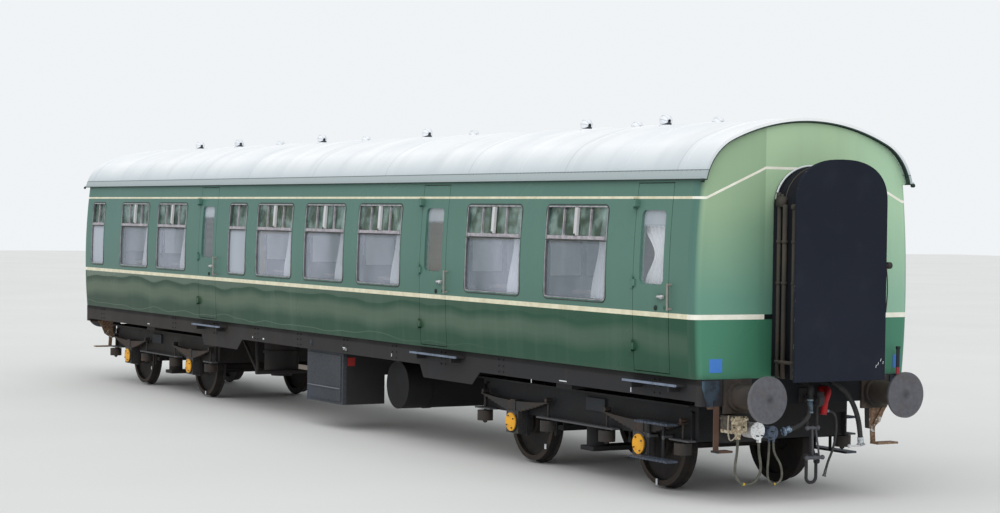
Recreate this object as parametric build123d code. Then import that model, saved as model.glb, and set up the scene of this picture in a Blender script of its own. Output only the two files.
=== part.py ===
from build123d import *
import math
import os

os.makedirs("parts", exist_ok=True)

# Passenger coach, in mm. X runs along the coach and +X is the near gangway end, Y across it,
# Z up. Heights below are from the rail top, as on a drawing, and save() lifts every piece by
# the flange depth, so that the origin lies under the coach's middle at the flange tips.

# Wheels and bogies
flange_depth = 28.0
tread_radius = 457.0
tyre_inner_y = 681.0
tyre_width = 135.0
flange_width = 32.0
rim_depth = 62.0
web_thickness = 26.0
hub_radius = 130.0
hub_inner_y = 660.0
hub_width = 180.0
axle_radius = 78.0
wheel_seat_radius = 95.0
journal_radius = 60.0
journal_clearance = 0.3
bogie_centres = 12192.0
bogie_wheelbase = 2591.0
frame_web_y = 940.0
frame_web = 22.0
frame_flange_y = 1085.0
frame_flange = 18.0
frame_top_z = 925.0
frame_bottom_z = 548.0
frame_overhang = 860.0
horn_half_gap = 150.0
axlebox_half = 132.0
axlebox_top_z = 585.0
axlebox_bottom_z = 330.0
axlebox_inner_y = 880.0
axlebox_outer_y = 1085.0
cover_radius = 105.0
cover_depth = 26.0
spring_half_span = 730.0
spring_y = 1035.0
spring_room_half = 520.0
spring_width = 80.0
spring_leaf = 14.0
spring_leaves = 8
spring_end_z = 735.0
buckle_half = 55.0
hanger_offset = 700.0
hanger_radius = 13.0
aux_radius = 92.0
aux_top_z = 530.0
aux_height = 118.0
bolster_half = 230.0
bolster_top_z = 860.0
bolster_bottom_z = 610.0
transom_inner = 560.0
transom_depth = 90.0
centre_plate_radius = 220.0
pivot_radius = 60.0
pivot_clearance = 0.5
shoe_clearance = 8.0
shoe_depth = 45.0
shoe_width = 66.0
shoe_centre_y = 767.0
brake_beam_z = 400.0
brake_beam_depth = 60.0
link_beam_y = 520.0
link_beam_half = 40.0
plank_z = 250.0
plank_thickness = 50.0
plank_half = 130.0
plank_y = 900.0
nest_y = 780.0
nest_radius = 105.0
bearer_low = 110.0
bearer_high = 480.0
bearer_bottom_z = 712.0
bearer_top_z = 850.0
bearer_out = 30.0
footboard_upper_z = 703.0
footboard_lower_z = 329.0
footboard_thickness = 22.0
footboard_width = 150.0
footboard_reach = 700.0

# Body shell
body_length = 17526.0
plan_length = 17526.0
body_bottom = 1225.0
eaves_z = 3190.0
half_width_bottom = 1340.0
half_width_waist = 1378.0
half_width_eaves = 1310.0
waist_z = 2100.0
wall = 60.0
end_corner = 163.0
end_flat_half = 620.0
end_rake = 48.0
end_corner_radius = 90.0
roof_half_width = half_width_eaves + 25.0
roof_peak = 3840.0
roof_shoulder_y = 990.0
roof_shoulder_share = 0.673
roof_thickness = 40.0
roof_overhang = 36.0
gutter_out = 18.0
gutter_height = 26.0
floor_half_width = half_width_bottom - wall - 8.0
floor_thickness = 60.0

# Windows and doors
window_bottom = 1920.0
window_top = 2940.0
window_corner = 70.0
transom_z = 2590.0
frame_bead = 26.0
frame_bar = 18.0
frame_proud = 4.0
frame_inset = 20.0
glass_thickness = 6.0
door_bottom = 1255.0
door_top = 3160.0
door_gap = 8.0
door_taper = 0.13
hinge_axis_y = half_width_waist + 14.0
hinge_radius = 10.0
hinge_height = 70.0
hinge_knuckle = 24.0
hinge_strap = 46.0
droplight_bottom = 2140.0
droplight_top = 2890.0
droplight_corner = 60.0
droplight_inset = 30.0

# Gangways
gangway_half = 450.0
gangway_wall = 55.0
gangway_bottom = 1290.0
gangway_top = 3110.0
gangway_reach = 499.0
face_plate_half = 580.0
face_plate_bottom = 1217.0
face_plate_top = 3414.0
face_plate_thickness = 38.0
face_shoulder_z = 3050.0

# Underframe
solebar_face_y = half_width_bottom - 40.0
solebar_bottom = 1000.0
solebar_web = 12.0
solebar_flange = 90.0
headstock_depth = 110.0
headstock_bottom = 960.0
cross_width = 80.0
cross_bottom = 1050.0
body_bolster_half = 160.0
body_bolster_bottom = 940.0
pivot_bottom = 700.0

# Buffers and drawgear
buffer_y = 875.0
buffer_z = 1054.0
buffer_reach = 526.0
buffer_base = 340.0
buffer_base_thickness = 25.0
buffer_sleeve_radius = 118.0
buffer_sleeve_length = 330.0
buffer_ram_radius = 72.0
buffer_head_radius = 232.0
buffer_head_rim = 26.0
buffer_dome = 14.0
hook_z = 1000.0
hook_thickness = 60.0
hook_reach = 230.0
hook_eye = 100.0
hook_plate_half = 95.0
hook_eye_radius = 22.0
coupling_upper_z = 715.0
coupling_lower_z = 431.0
coupling_foot_z = 165.0
coupling_half = 62.0
coupling_bar_radius = 17.0

# Gear slung under the floor
battery_start_x = -290.0
battery_length = 1075.0
battery_inner_y = 640.0
battery_outer_y = solebar_face_y - 50.0
battery_bottom_z = 320.0
battery_door_margin = 50.0
battery_strip_z = 520.0
battery_arm_z = 700.0
battery_arm_reach = 300.0
drum_middle_x = 1830.0
drum_z = 655.0
drum_radius = 300.0
drum_half = 1000.0
drum_hanger_y = 600.0
cylinder_middle_x = -3000.0
cylinder_y = 380.0
cylinder_radius = 250.0
cylinder_bottom_z = 480.0
tank_y0 = -350.0
tank_y1 = 750.0
tank_bottom_z = 600.0
tank_corner = 90.0
brake_shaft_middle_x = -2680.0
brake_shaft_z = 500.0
brake_shaft_radius = 32.0
brake_shaft_y = 900.0

# Corner gear at each end
bracket_thickness = 14.0
hanging_bar_y = solebar_face_y - 165.0
hanging_bar_half = 30.0
hanging_bar_top = 1020.0
end_tread_z = 530.0
end_tread_reach = 120.0
end_tread_thickness = 20.0
cranked_plate_x = 33.0
cranked_plate_thickness = 14.0
cranked_bar_thickness = 16.0
lamp_bracket_y = solebar_face_y - 135.0
lamp_bracket_top = 1500.0

# Sockets, pipes and hoses at the near end
socket_plate_back = 63.0
socket_plate_thickness = 16.0
socket_plate_bottom = 590.0
socket_plate_y0 = -1060.0
socket_plate_y1 = -450.0
cable_gland_radius = 24.0
beige_socket_y = -950.0
beige_socket_half = 92.0
beige_socket_top = 868.0
beige_gland_z = 640.0
white_socket_y = -722.0
white_socket_z = 718.0
white_socket_radius = 78.0
white_gland_y = -690.0
white_gland_z = 600.0
grey_socket_y = -540.0
grey_socket_z = 690.0
grey_socket_radius = 62.0
grey_gland_z = 600.0
cable_out = 132.0
swan_neck_y = -80.0
swan_neck_z = 1172.0
swan_neck_radius = 30.0
hose_top_z = 1020.0
cock_top_y = 190.0
cock_top_z = 1100.0
cock_middle_y = 140.0
cock_middle_z = 985.0
cock_foot_y = 118.0
cock_foot_z = 848.0
cock_radius = 34.0
cock_nipple_radius = 18.0
steam_stub_length = 40.0

# Interior
aisle_half = 260.0
seat_outer_y = half_width_bottom - wall - 40.0
seat_base_top = 1590.0
seat_cushion = 110.0
seat_depth = 520.0
seat_back_top = 2520.0
seat_back_thickness = 90.0
partition_thickness = 40.0
doorway_half = 300.0
doorway_top = 3080.0
table_z = 1990.0
table_thickness = 30.0
table_half = 230.0
table_leg_half = 30.0
table_inner_y = 620.0
table_outer_y = half_width_bottom - wall - 18.0

body_half = body_length / 2
stretch = body_length / plan_length
cut_inner_y = half_width_eaves - wall - 50
cut_outer_y = half_width_waist + 72
roof_drop = (roof_peak - eaves_z) * (1 - roof_shoulder_share)
roof_top_radius = (roof_shoulder_y ** 2 + roof_drop ** 2) / (2 * roof_drop)
side_half = body_half - end_corner
bogie_x = stretch * bogie_centres / 2
axle_offset = bogie_wheelbase / 2
flange_radius = tread_radius + flange_depth
gangway_face_x = body_half + gangway_reach
buffer_face_x = body_half + buffer_reach
battery_x0 = stretch * battery_start_x
battery_x1 = battery_x0 + battery_length
drum_x = stretch * drum_middle_x
cylinder_x = stretch * cylinder_middle_x
brake_shaft_x = stretch * brake_shaft_middle_x
floor_top = body_bottom + floor_thickness

# Columns: name, low X, high X, kind of vent panes
windows = (
    ("a", 5910.0, 7140.0, "wide"),
    ("b", 4160.0, 5400.0, "wide"),
    ("c", 1380.0, 2560.0, "wide"),
    ("d", -190.0, 1000.0, "wide"),
    ("e", -1745.0, -575.0, "wide"),
    ("f", -2720.0, -2100.0, "narrow"),
    ("g", -5480.0, -4305.0, "wide"),
    ("h", -7040.0, -5850.0, "wide"),
    ("i", -8380.0, -7800.0, "narrow"),
)

windows = tuple((name, stretch * x0, stretch * x1, kind) for name, x0, x1, kind in windows)

# Columns: share of the window's length at the bar's middle, bar width in bars
vent_bars = {
    "wide": ((0.29, 1.0), (0.50, 1.8), (0.72, 1.0)),
    "narrow": ((0.50, 1.0),),
}

# Columns: name, hinge edge X, lock edge X
doors = (
    ("near", 7650.0, 8285.0),
    ("middle", 3070.0, 3710.0),
    ("far", -3800.0, -3170.0),
)

doors = tuple((name, stretch * hinge, stretch * lock) for name, hinge, lock in doors)

hinge_heights = (1500.0, 2150.0, 2960.0)

# Columns: X of the partition's middle
partitions = (7440.0, 3860.0, 2870.0, -1930.0, -2860.0, -4080.0, -7440.0)

partitions = tuple(stretch * x for x in partitions)

# Columns: X of the seat back's middle, side that the cushion is on: -1, 1 or 0 for both
seat_rows = (
    (7370.0, -1),
    (5655.0, 0),
    (3930.0, 1),
    (2800.0, -1),
    (1190.0, 0),
    (-385.0, 0),
    (-1860.0, 1),
    (-4150.0, -1),
    (-5665.0, 0),
    (-7370.0, 1),
)

seat_rows = tuple((stretch * x, side) for x, side in seat_rows)

# Columns: X of the pair of roof ventilators
vent_rows = (6720.0, 5140.0, 1330.0, -1780.0, -4700.0, -6240.0)
vent_rows = tuple(stretch * x for x in vent_rows)
vent_y = 350.0
vent_radius = 80.0
vent_height = 120.0

# Columns: low X, high X of each step board under a door
step_boards = ((7580.0, 8510.0), (2970.0, 4080.0), (-3860.0, -2860.0))
step_boards = tuple((stretch * x0, stretch * x1) for x0, x1 in step_boards)
step_board_z = 1140.0
step_board_thickness = 22.0
step_board_out = 150.0

# Columns: low X and high X at the top, low X and high X at the bottom
hanging_plates = (
    (2960.0, 4420.0, 3060.0, 4235.0),
    (-3830.0, -2340.0, -3730.0, -2530.0),
)
hanging_plates = tuple(tuple(stretch * x for x in row) for row in hanging_plates)
hanging_plate_bottom = 847.0
hanging_plate_thickness = 10.0

# Each cord's route, from the fitting that it leaves to the one it ends in
# Columns: distance out from the body's end, Y, Z
left_cable_diameter = 27.0
left_cable_plan = (
    (132.0, -950.0, 640.0),
    (132.0, -950.0, 530.0),
    (134.0, -976.0, 405.0),
    (135.0, -982.0, 280.0),
    (137.0, -889.0, 187.0),
    (137.0, -758.0, 187.0),
    (135.0, -666.0, 280.0),
    (134.0, -662.0, 400.0),
    (132.0, -690.0, 505.0),
    (132.0, -690.0, 600.0),
)
right_cable_diameter = 23.0
right_cable_plan = (
    (115.0, -548.0, 600.0),
    (115.0, -548.0, 515.0),
    (116.0, -556.0, 420.0),
    (117.0, -566.0, 320.0),
    (121.0, -562.0, 224.0),
    (127.0, -516.0, 176.0),
    (136.0, -452.0, 176.0),
    (143.0, -406.0, 222.0),
    (147.0, -404.0, 300.0),
    (149.0, -432.0, 384.0),
    (151.0, -486.0, 452.0),
    (153.0, -524.0, 524.0),
    (153.0, -524.0, 600.0),
)
vacuum_hose_diameter = 54.0
vacuum_hose_plan = (
    (169.0, -80.0, 1020.0),
    (169.0, -80.0, 915.0),
    (167.0, -122.0, 815.0),
    (163.0, -215.0, 752.0),
    (159.0, -322.0, 722.0),
)
air_hose_diameter = 25.0
air_hose_plan = (
    (132.0, 160.0, 885.0),
    (132.0, 228.0, 885.0),
    (133.0, 276.0, 835.0),
    (134.0, 290.0, 762.0),
    (134.0, 287.0, 664.0),
    (133.0, 270.0, 556.0),
    (132.0, 234.0, 452.0),
    (131.0, 186.0, 362.0),
    (130.0, 166.0, 292.0),
)
steam_hose_diameter = 52.0
steam_hose_plan = (
    (45.0, 338.0, 1150.0),
    (103.0, 408.0, 1090.0),
    (121.0, 492.0, 984.0),
    (121.0, 564.0, 850.0),
    (117.0, 606.0, 718.0),
    (115.0, 622.0, 600.0),
)

left_cable_route = tuple((body_half + out, y, z) for out, y, z in left_cable_plan)
right_cable_route = tuple((body_half + out, y, z) for out, y, z in right_cable_plan)
vacuum_hose_route = tuple((body_half + out, y, z) for out, y, z in vacuum_hose_plan)
air_hose_route = tuple((body_half + out, y, z) for out, y, z in air_hose_plan)
steam_hose_route = tuple((body_half + out, y, z) for out, y, z in steam_hose_plan)

# Columns: X of each cross member between the solebars
cross_members = (8000.0, 4900.0, 3550.0, 2300.0, 950.0, -450.0, -1850.0, -3300.0, -4900.0, -8000.0)
cross_members = tuple(stretch * x for x in cross_members)


def block(x0, x1, y0, y1, z0, z1):
    centre = Pos((x0 + x1) / 2, (y0 + y1) / 2, (z0 + z1) / 2)
    return centre * Box(x1 - x0, y1 - y0, z1 - z0)


def rod(start, end, radius):
    start = Vector(*start)
    end = Vector(*end)
    plane = Plane(origin=start, z_dir=end - start)
    return extrude(plane * Circle(radius), amount=(end - start).length)


def disc_y(x, z, radius, y0, y1):
    plane = Plane(origin=(x, y0, z), x_dir=(1, 0, 0), z_dir=(0, 1, 0))
    return extrude(plane * Circle(radius), amount=y1 - y0)


def rounded_plug(x0, x1, z0, z1, y0, y1, corner):
    middle = ((x0 + x1) / 2, y0, (z0 + z1) / 2)
    plane = Plane(origin=middle, x_dir=(1, 0, 0), z_dir=(0, 1, 0))
    return extrude(plane * RectangleRounded(x1 - x0, z1 - z0, corner), amount=y1 - y0)


# A cord's tube: straight runs joined by arcs as large as the two runs beside them allow
def cord_tube(name, route, diameter):
    points = [Vector(*point) for point in route]
    runs = [points[i + 1] - points[i] for i in range(len(points) - 1)]
    radii = []
    for first, second in zip(runs, runs[1:]):
        turn = math.radians(first.get_angle(second))
        radii.append(0.45 * min(first.length, second.length) / math.tan(turn / 2))
    path = FilletPolyline(*points, radius=radii)
    section = Plane(origin=points[0], z_dir=runs[0]) * Circle(diameter / 2)
    tube = sweep(section, path=path)
    expected = math.pi * diameter ** 2 / 4 * path.length
    share = round(tube.volume / expected, 4)
    print(name, "length", round(path.length), "least radius", round(min(radii)), "volume share", share)
    return tube


def across(shape):
    return mirror(shape, Plane.XZ)


def to_far_end(shape):
    return mirror(shape, Plane.YZ)


def solids_of(*shapes):
    found = []
    for shape in shapes:
        found.extend(shape.solids())
    return Compound(children=found)


def both_sides(*shapes):
    mirrored = [across(shape) for shape in shapes]
    return solids_of(*shapes, *mirrored)


def all_corners(*shapes):
    pairs = [both_sides(shape) for shape in shapes]
    mirrored = [to_far_end(pair) for pair in pairs]
    return solids_of(*pairs, *mirrored)


def save(name, *shapes):
    lifted = [Pos(0, 0, flange_depth) * solid for solid in solids_of(*shapes).solids()]
    lifted = Compound(children=lifted) if len(lifted) > 1 else lifted[0]
    lifted.label = name
    export_step(lifted, f"parts/{name}.step")


# Curved side: one arc through the bottom, the waist and the eaves
def side_arc(inset):
    return ThreePointArc(
        (half_width_bottom - inset, body_bottom),
        (half_width_waist - inset, waist_z),
        (half_width_eaves - inset, eaves_z),
    )


def side_skin(outer_inset, inner_inset, x0, x1):
    outer = side_arc(outer_inset)
    inner = side_arc(inner_inset)
    top = Line(outer @ 1, inner @ 1)
    bottom = Line(outer @ 0, inner @ 0)
    face = Plane.YZ * make_face([outer, top, inner, bottom])
    return Pos(x0, 0, 0) * extrude(face, amount=x1 - x0)


# Roof arch: a wide top arc with a tangent shoulder down to each eave
def roof_face(inset):
    radius = roof_top_radius - inset
    turn = math.asin(roof_shoulder_y / roof_top_radius)
    shoulder_y = radius * math.sin(turn)
    shoulder_z = roof_peak - roof_top_radius + radius * math.cos(turn)
    eave_y = roof_half_width - inset
    top = ThreePointArc((-shoulder_y, shoulder_z), (0, roof_peak - inset), (shoulder_y, shoulder_z))
    right = TangentArc((shoulder_y, shoulder_z), (eave_y, eaves_z), tangent=(math.cos(turn), -math.sin(turn)))
    left = mirror(right, Plane.YZ)
    base = Line((-eave_y, eaves_z), (eave_y, eaves_z))
    return make_face([top, right, left, base])


def roof_solid():
    full = body_half + roof_overhang
    outer = extrude(Plane.YZ * roof_face(0), amount=full, both=True)
    inner = extrude(Plane.YZ * roof_face(roof_thickness), amount=full + 10, both=True)
    shell = outer - inner
    gutter_y = roof_half_width + gutter_out
    gutter = block(-full, full, roof_half_width - 20, gutter_y, eaves_z, eaves_z + gutter_height)
    gutter = gutter - inner
    return shell + gutter + across(gutter)


# A door and its opening share one plan, tapered at the lock edge so that it swings clear
def door_plug(x_hinge, x_lock, z0, z1, gap):
    y_in = half_width_bottom - wall - 40
    y_out = half_width_waist + 40
    taper = door_taper * (y_out - y_in)
    corners = (
        (x_hinge - gap, y_in),
        (x_lock - taper + gap, y_in),
        (x_lock + gap, y_out),
        (x_hinge - gap, y_out),
    )
    face = make_face(Polyline(*corners, close=True))
    return Pos(0, 0, z0 - gap) * extrude(face, amount=z1 - z0 + 2 * gap)


def window_plug(x0, x1):
    return rounded_plug(x0, x1, window_bottom, window_top, cut_inner_y, cut_outer_y, window_corner)


def droplight_span(x_hinge, x_lock):
    return x_hinge + 105, x_lock - 105


def droplight_plug(x_hinge, x_lock):
    x0, x1 = droplight_span(x_hinge, x_lock)
    return rounded_plug(x0, x1, droplight_bottom, droplight_top, cut_inner_y, cut_outer_y, droplight_corner)


def skin_surface_y(z):
    arc = side_arc(0)
    centre = arc.arc_center
    return centre.X + math.sqrt(arc.radius ** 2 - (z - centre.Y) ** 2)


# Each hinge is a barrel on the door between two knuckles on the body side
def hinge_knuckles(x_hinge):
    pieces = []
    for z in hinge_heights:
        low = z - hinge_height / 2
        high = z + hinge_height / 2
        for z0 in (low - hinge_knuckle, high + 1):
            z1 = z0 + hinge_knuckle - 1
            barrel = rod((x_hinge, hinge_axis_y, z0), (x_hinge, hinge_axis_y, z1), hinge_radius)
            strap_y = skin_surface_y(z) - 12
            strap = block(x_hinge - hinge_strap, x_hinge, strap_y, hinge_axis_y + 4, z0, z1)
            pieces.append(barrel + strap)
    return pieces


def hinge_barrels(x_hinge):
    pieces = []
    for z in hinge_heights:
        z0 = z - hinge_height / 2
        z1 = z + hinge_height / 2 - 1
        barrel = rod((x_hinge, hinge_axis_y, z0), (x_hinge, hinge_axis_y, z1), hinge_radius)
        strap_y = skin_surface_y(z) - 12
        strap = block(x_hinge, x_hinge + hinge_strap, strap_y, hinge_axis_y + 4, z0, z1)
        pieces.append(barrel + strap)
    return pieces


def side_solid():
    side = side_skin(0, wall, -side_half, side_half)
    for name, x0, x1, kind in windows:
        side = side - window_plug(x0, x1)
    for name, x_hinge, x_lock in doors:
        side = side - door_plug(x_hinge, x_lock, door_bottom, door_top, door_gap)
        for knuckle in hinge_knuckles(x_hinge):
            side = side + knuckle
    return side


def door_solid(x_hinge, x_lock):
    skin = side_skin(0, wall, x_hinge - 50, x_lock + 50)
    leaf = skin & door_plug(x_hinge, x_lock, door_bottom, door_top, 0)
    leaf = leaf - droplight_plug(x_hinge, x_lock)
    for barrel in hinge_barrels(x_hinge):
        leaf = leaf + barrel
    handle_x = x_lock - 120
    handle_z = 2020.0
    boss_y = skin_surface_y(handle_z)
    boss = disc_y(handle_x, handle_z, 20, boss_y - 15, boss_y + 36)
    grip = block(handle_x - 95, handle_x + 18, boss_y + 24, boss_y + 40, handle_z - 11, handle_z + 11)
    stop = disc_y(x_lock - 60, 1915.0, 17, boss_y - 15, boss_y + 30)
    return leaf + boss + grip + stop


def door_glass(x_hinge, x_lock):
    skin = side_skin(droplight_inset, droplight_inset + glass_thickness, x_hinge, x_lock)
    return skin & droplight_plug(x_hinge, x_lock)


# A window's panes: one below the transom and a row of vents above it
def window_panes(x0, x1, kind):
    low = window_bottom + frame_bead
    high = window_top - frame_bead
    left = x0 + frame_bead
    right = x1 - frame_bead
    corner = window_corner - frame_bead
    panes = [rounded_plug(left, right, low, transom_z - frame_bar, cut_inner_y, cut_outer_y, corner)]
    start = left
    for share, width in vent_bars[kind] + ((None, 0.0),):
        stop = right
        following = right
        if share is not None:
            middle = x0 + share * (x1 - x0)
            stop = middle - width * frame_bar / 2
            following = middle + width * frame_bar / 2
        panes.append(rounded_plug(start, stop, transom_z + frame_bar, high, cut_inner_y, cut_outer_y, 18))
        start = following
    return panes


def window_frame(x0, x1, kind):
    frame = side_skin(-frame_proud, frame_inset, x0 - 10, x1 + 10) & window_plug(x0, x1)
    for pane in window_panes(x0, x1, kind):
        frame = frame - pane
    return frame


def window_glass(x0, x1):
    skin = side_skin(frame_inset, frame_inset + glass_thickness, x0 - 10, x1 + 10)
    return skin & window_plug(x0, x1)


# The end: a wall in three facets with rounded corners that return along the sides
def end_solid():
    side_points = side_arc(0)
    outline = [side_points, mirror(side_points, Plane.YZ)]
    outline.append(Line((-half_width_bottom, body_bottom), (half_width_bottom, body_bottom)))
    outline.append(Line((-half_width_eaves, eaves_z), (half_width_eaves, eaves_z)))
    lower = extrude(Plane.YZ * make_face(outline), amount=end_corner)
    upper = extrude(Plane.YZ * roof_face(roof_thickness), amount=end_corner)
    blank = Pos(side_half, 0, 0) * lower
    for sign in (-1, 1):
        cut_plan = Polyline(
            (body_half, sign * end_flat_half),
            (body_half - end_rake, sign * (half_width_waist + 60)),
            (body_half + 100, sign * (half_width_waist + 60)),
            (body_half + 100, sign * end_flat_half),
            close=True,
        )
        cutter = extrude(make_face(cut_plan), amount=5000)
        blank = blank - cutter
        upper = upper - Pos(-side_half, 0, 0) * cutter
    corner_edges = [
        edge
        for edge in blank.edges()
        if abs(edge.center().Y) > 1200 and edge.length > 1500 and edge.center().X > body_half - 80
    ]
    blank = fillet(corner_edges, end_corner_radius)
    inner_points = side_arc(wall)
    hollow = [inner_points, mirror(inner_points, Plane.YZ)]
    hollow.append(Line(inner_points @ 0, (mirror(inner_points, Plane.YZ)) @ 0))
    hollow.append(Line(inner_points @ 1, (mirror(inner_points, Plane.YZ)) @ 1))
    inside = extrude(Plane.YZ * make_face(hollow), amount=end_corner - wall)
    blank = blank - Pos(side_half, 0, 0) * inside
    gable = Pos(side_half, 0, 0) * upper
    gable = gable - block(0, body_half - wall, -cut_outer_y, cut_outer_y, 0, roof_peak)
    whole = blank + gable
    return whole - block(body_half - 200, body_half + 50, -doorway_half, doorway_half, floor_top, doorway_top)


def arched_face(half, bottom, shoulder, top):
    sides = Polyline((-half, shoulder), (-half, bottom), (half, bottom), (half, shoulder))
    arch = ThreePointArc((half, shoulder), (0, top), (-half, shoulder))
    return make_face([sides, arch])


def gangway_solid():
    shoulder = gangway_top - 160
    outer = Plane.YZ * arched_face(gangway_half, gangway_bottom, shoulder, gangway_top)
    inner_half = gangway_half - gangway_wall
    inner_top = gangway_top - gangway_wall
    inner_shoulder = shoulder - gangway_wall / 2
    inner = Plane.YZ * arched_face(inner_half, gangway_bottom + gangway_wall, inner_shoulder, inner_top)
    length = gangway_face_x - body_half
    return Pos(body_half, 0, 0) * (extrude(outer, amount=length) - extrude(inner, amount=length))


def gangway_plate():
    face = Plane.YZ * arched_face(face_plate_half, face_plate_bottom, face_shoulder_z, face_plate_top)
    return Pos(gangway_face_x, 0, 0) * extrude(face, amount=face_plate_thickness)


def floor_solid():
    half = body_half - wall
    return block(-half, half, -floor_half_width, floor_half_width, body_bottom, floor_top)


# Channel solebar with its open side inward, and the plates that hang below it
def solebar_solid():
    half = body_half - headstock_depth
    bar = block(-half, half, solebar_face_y - solebar_flange, solebar_face_y, solebar_bottom, body_bottom)
    hollow = block(
        -half - 1,
        half + 1,
        solebar_face_y - solebar_flange - 1,
        solebar_face_y - solebar_web,
        solebar_bottom + solebar_web,
        body_bottom - solebar_web,
    )
    bar = bar - hollow
    for top0, top1, bottom0, bottom1 in hanging_plates:
        outline = Polyline(
            (top0, solebar_bottom + solebar_web / 2),
            (top1, solebar_bottom + solebar_web / 2),
            (bottom1, hanging_plate_bottom),
            (bottom0, hanging_plate_bottom),
            close=True,
        )
        plate = extrude(Plane.XZ * make_face(outline), amount=-hanging_plate_thickness)
        bar = bar + Pos(0, solebar_face_y - hanging_plate_thickness, 0) * plate
    return bar


def headstock_solid():
    x0 = body_half - headstock_depth
    beam = block(x0, body_half, -solebar_face_y, solebar_face_y, headstock_bottom, body_bottom)
    return beam


def cross_member_solids():
    half = solebar_face_y - solebar_flange
    pieces = []
    for x in cross_members:
        pieces.append(block(x - cross_width / 2, x + cross_width / 2, -half, half, cross_bottom, body_bottom))
    for x in (bogie_x, -bogie_x):
        x0 = x - body_bolster_half
        x1 = x + body_bolster_half
        bolster = block(x0, x1, -half, half, body_bolster_bottom, body_bottom)
        pin = rod((x, 0, pivot_bottom), (x, 0, body_bolster_bottom + 10), pivot_radius)
        pieces.append(bolster + pin)
    return pieces


# Wheel turned about its axle, with a flanged tyre, a thin web and a hub
def wheel_solid():
    y0 = tyre_inner_y
    y1 = y0 + tyre_width
    rim_radius = tread_radius - rim_depth
    web0 = y0 + tyre_width / 2 - web_thickness / 2
    web1 = web0 + web_thickness
    hub0 = hub_inner_y
    hub1 = hub0 + hub_width
    outline = Polyline(
        (wheel_seat_radius, hub0),
        (hub_radius, hub0),
        (hub_radius + 15, web0),
        (rim_radius, web0),
        (rim_radius, y0),
        (flange_radius - 12, y0),
        (flange_radius, y0 + 9),
        (flange_radius, y0 + 16),
        (tread_radius, y0 + flange_width),
        (tread_radius - 4, y1),
        (rim_radius, y1),
        (rim_radius, web1),
        (hub_radius + 15, web1),
        (hub_radius, hub1),
        (wheel_seat_radius, hub1),
        close=True,
    )
    return revolve(make_face(outline), Axis.Y)


def axle_solid():
    seat0 = hub_inner_y - 25
    seat1 = hub_inner_y + hub_width
    end = axlebox_outer_y - 15
    outline = Polyline(
        (0, -end),
        (journal_radius, -end),
        (journal_radius, -seat1),
        (wheel_seat_radius, -seat1),
        (wheel_seat_radius, -seat0),
        (axle_radius, -seat0 + 40),
        (axle_radius, seat0 - 40),
        (wheel_seat_radius, seat0),
        (wheel_seat_radius, seat1),
        (journal_radius, seat1),
        (journal_radius, end),
        (0, end),
        close=True,
    )
    return revolve(make_face(outline), Axis.Y)


def axlebox_solid():
    half = axlebox_half
    body = block(-half, half, axlebox_inner_y, axlebox_outer_y, axlebox_bottom_z, axlebox_top_z)
    cover = disc_y(0, tread_radius, cover_radius, axlebox_outer_y, axlebox_outer_y + cover_depth)
    bore_radius = journal_radius + journal_clearance
    return body + cover - disc_y(0, tread_radius, bore_radius, axlebox_inner_y - 1, axlebox_outer_y - 10)


# Leaf spring over an axlebox: each leaf is shorter than the one above, bowed down at the buckle
def leaf_spring():
    y0 = spring_y - spring_width / 2
    y1 = spring_y + spring_width / 2
    top_z = axlebox_top_z + spring_leaves * spring_leaf
    spring = block(-buckle_half, buckle_half, y0 - 8, y1 + 8, axlebox_top_z, top_z + 16)
    rise = spring_end_z - top_z
    for leaf in range(spring_leaves):
        half = spring_half_span * (1 - leaf / (spring_leaves + 1.5))
        lift = rise * (half / spring_half_span) ** 2
        high = top_z - leaf * spring_leaf
        low = high - spring_leaf
        upper = ThreePointArc((-half, high + lift), (0, high), (half, high + lift))
        lower = ThreePointArc((-half, low + lift), (0, low), (half, low + lift))
        ends = [Line(upper @ 0, lower @ 0), Line(upper @ 1, lower @ 1)]
        face = Plane.XZ * make_face([upper, lower] + ends)
        spring = spring + Pos(0, y1, 0) * extrude(face, amount=spring_width)
    return spring


def spring_hanger():
    foot_z = aux_top_z - aux_height
    eye = disc_y(0, spring_end_z + 22, 24, spring_y - spring_width / 2, spring_y + spring_width / 2)
    stem = rod((0, spring_y, foot_z - 30), (0, spring_y, spring_end_z + 22), hanger_radius)
    stack = rod((0, spring_y, foot_z), (0, spring_y, aux_top_z), aux_radius)
    nut = rod((0, spring_y, foot_z - 22), (0, spring_y, foot_z), 26)
    return eye + stem + stack + nut


def spring_set():
    springs = leaf_spring()
    for side in (-1, 1):
        springs = springs + Pos(side * hanger_offset, 0, 0) * spring_hanger()
    return springs


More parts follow.
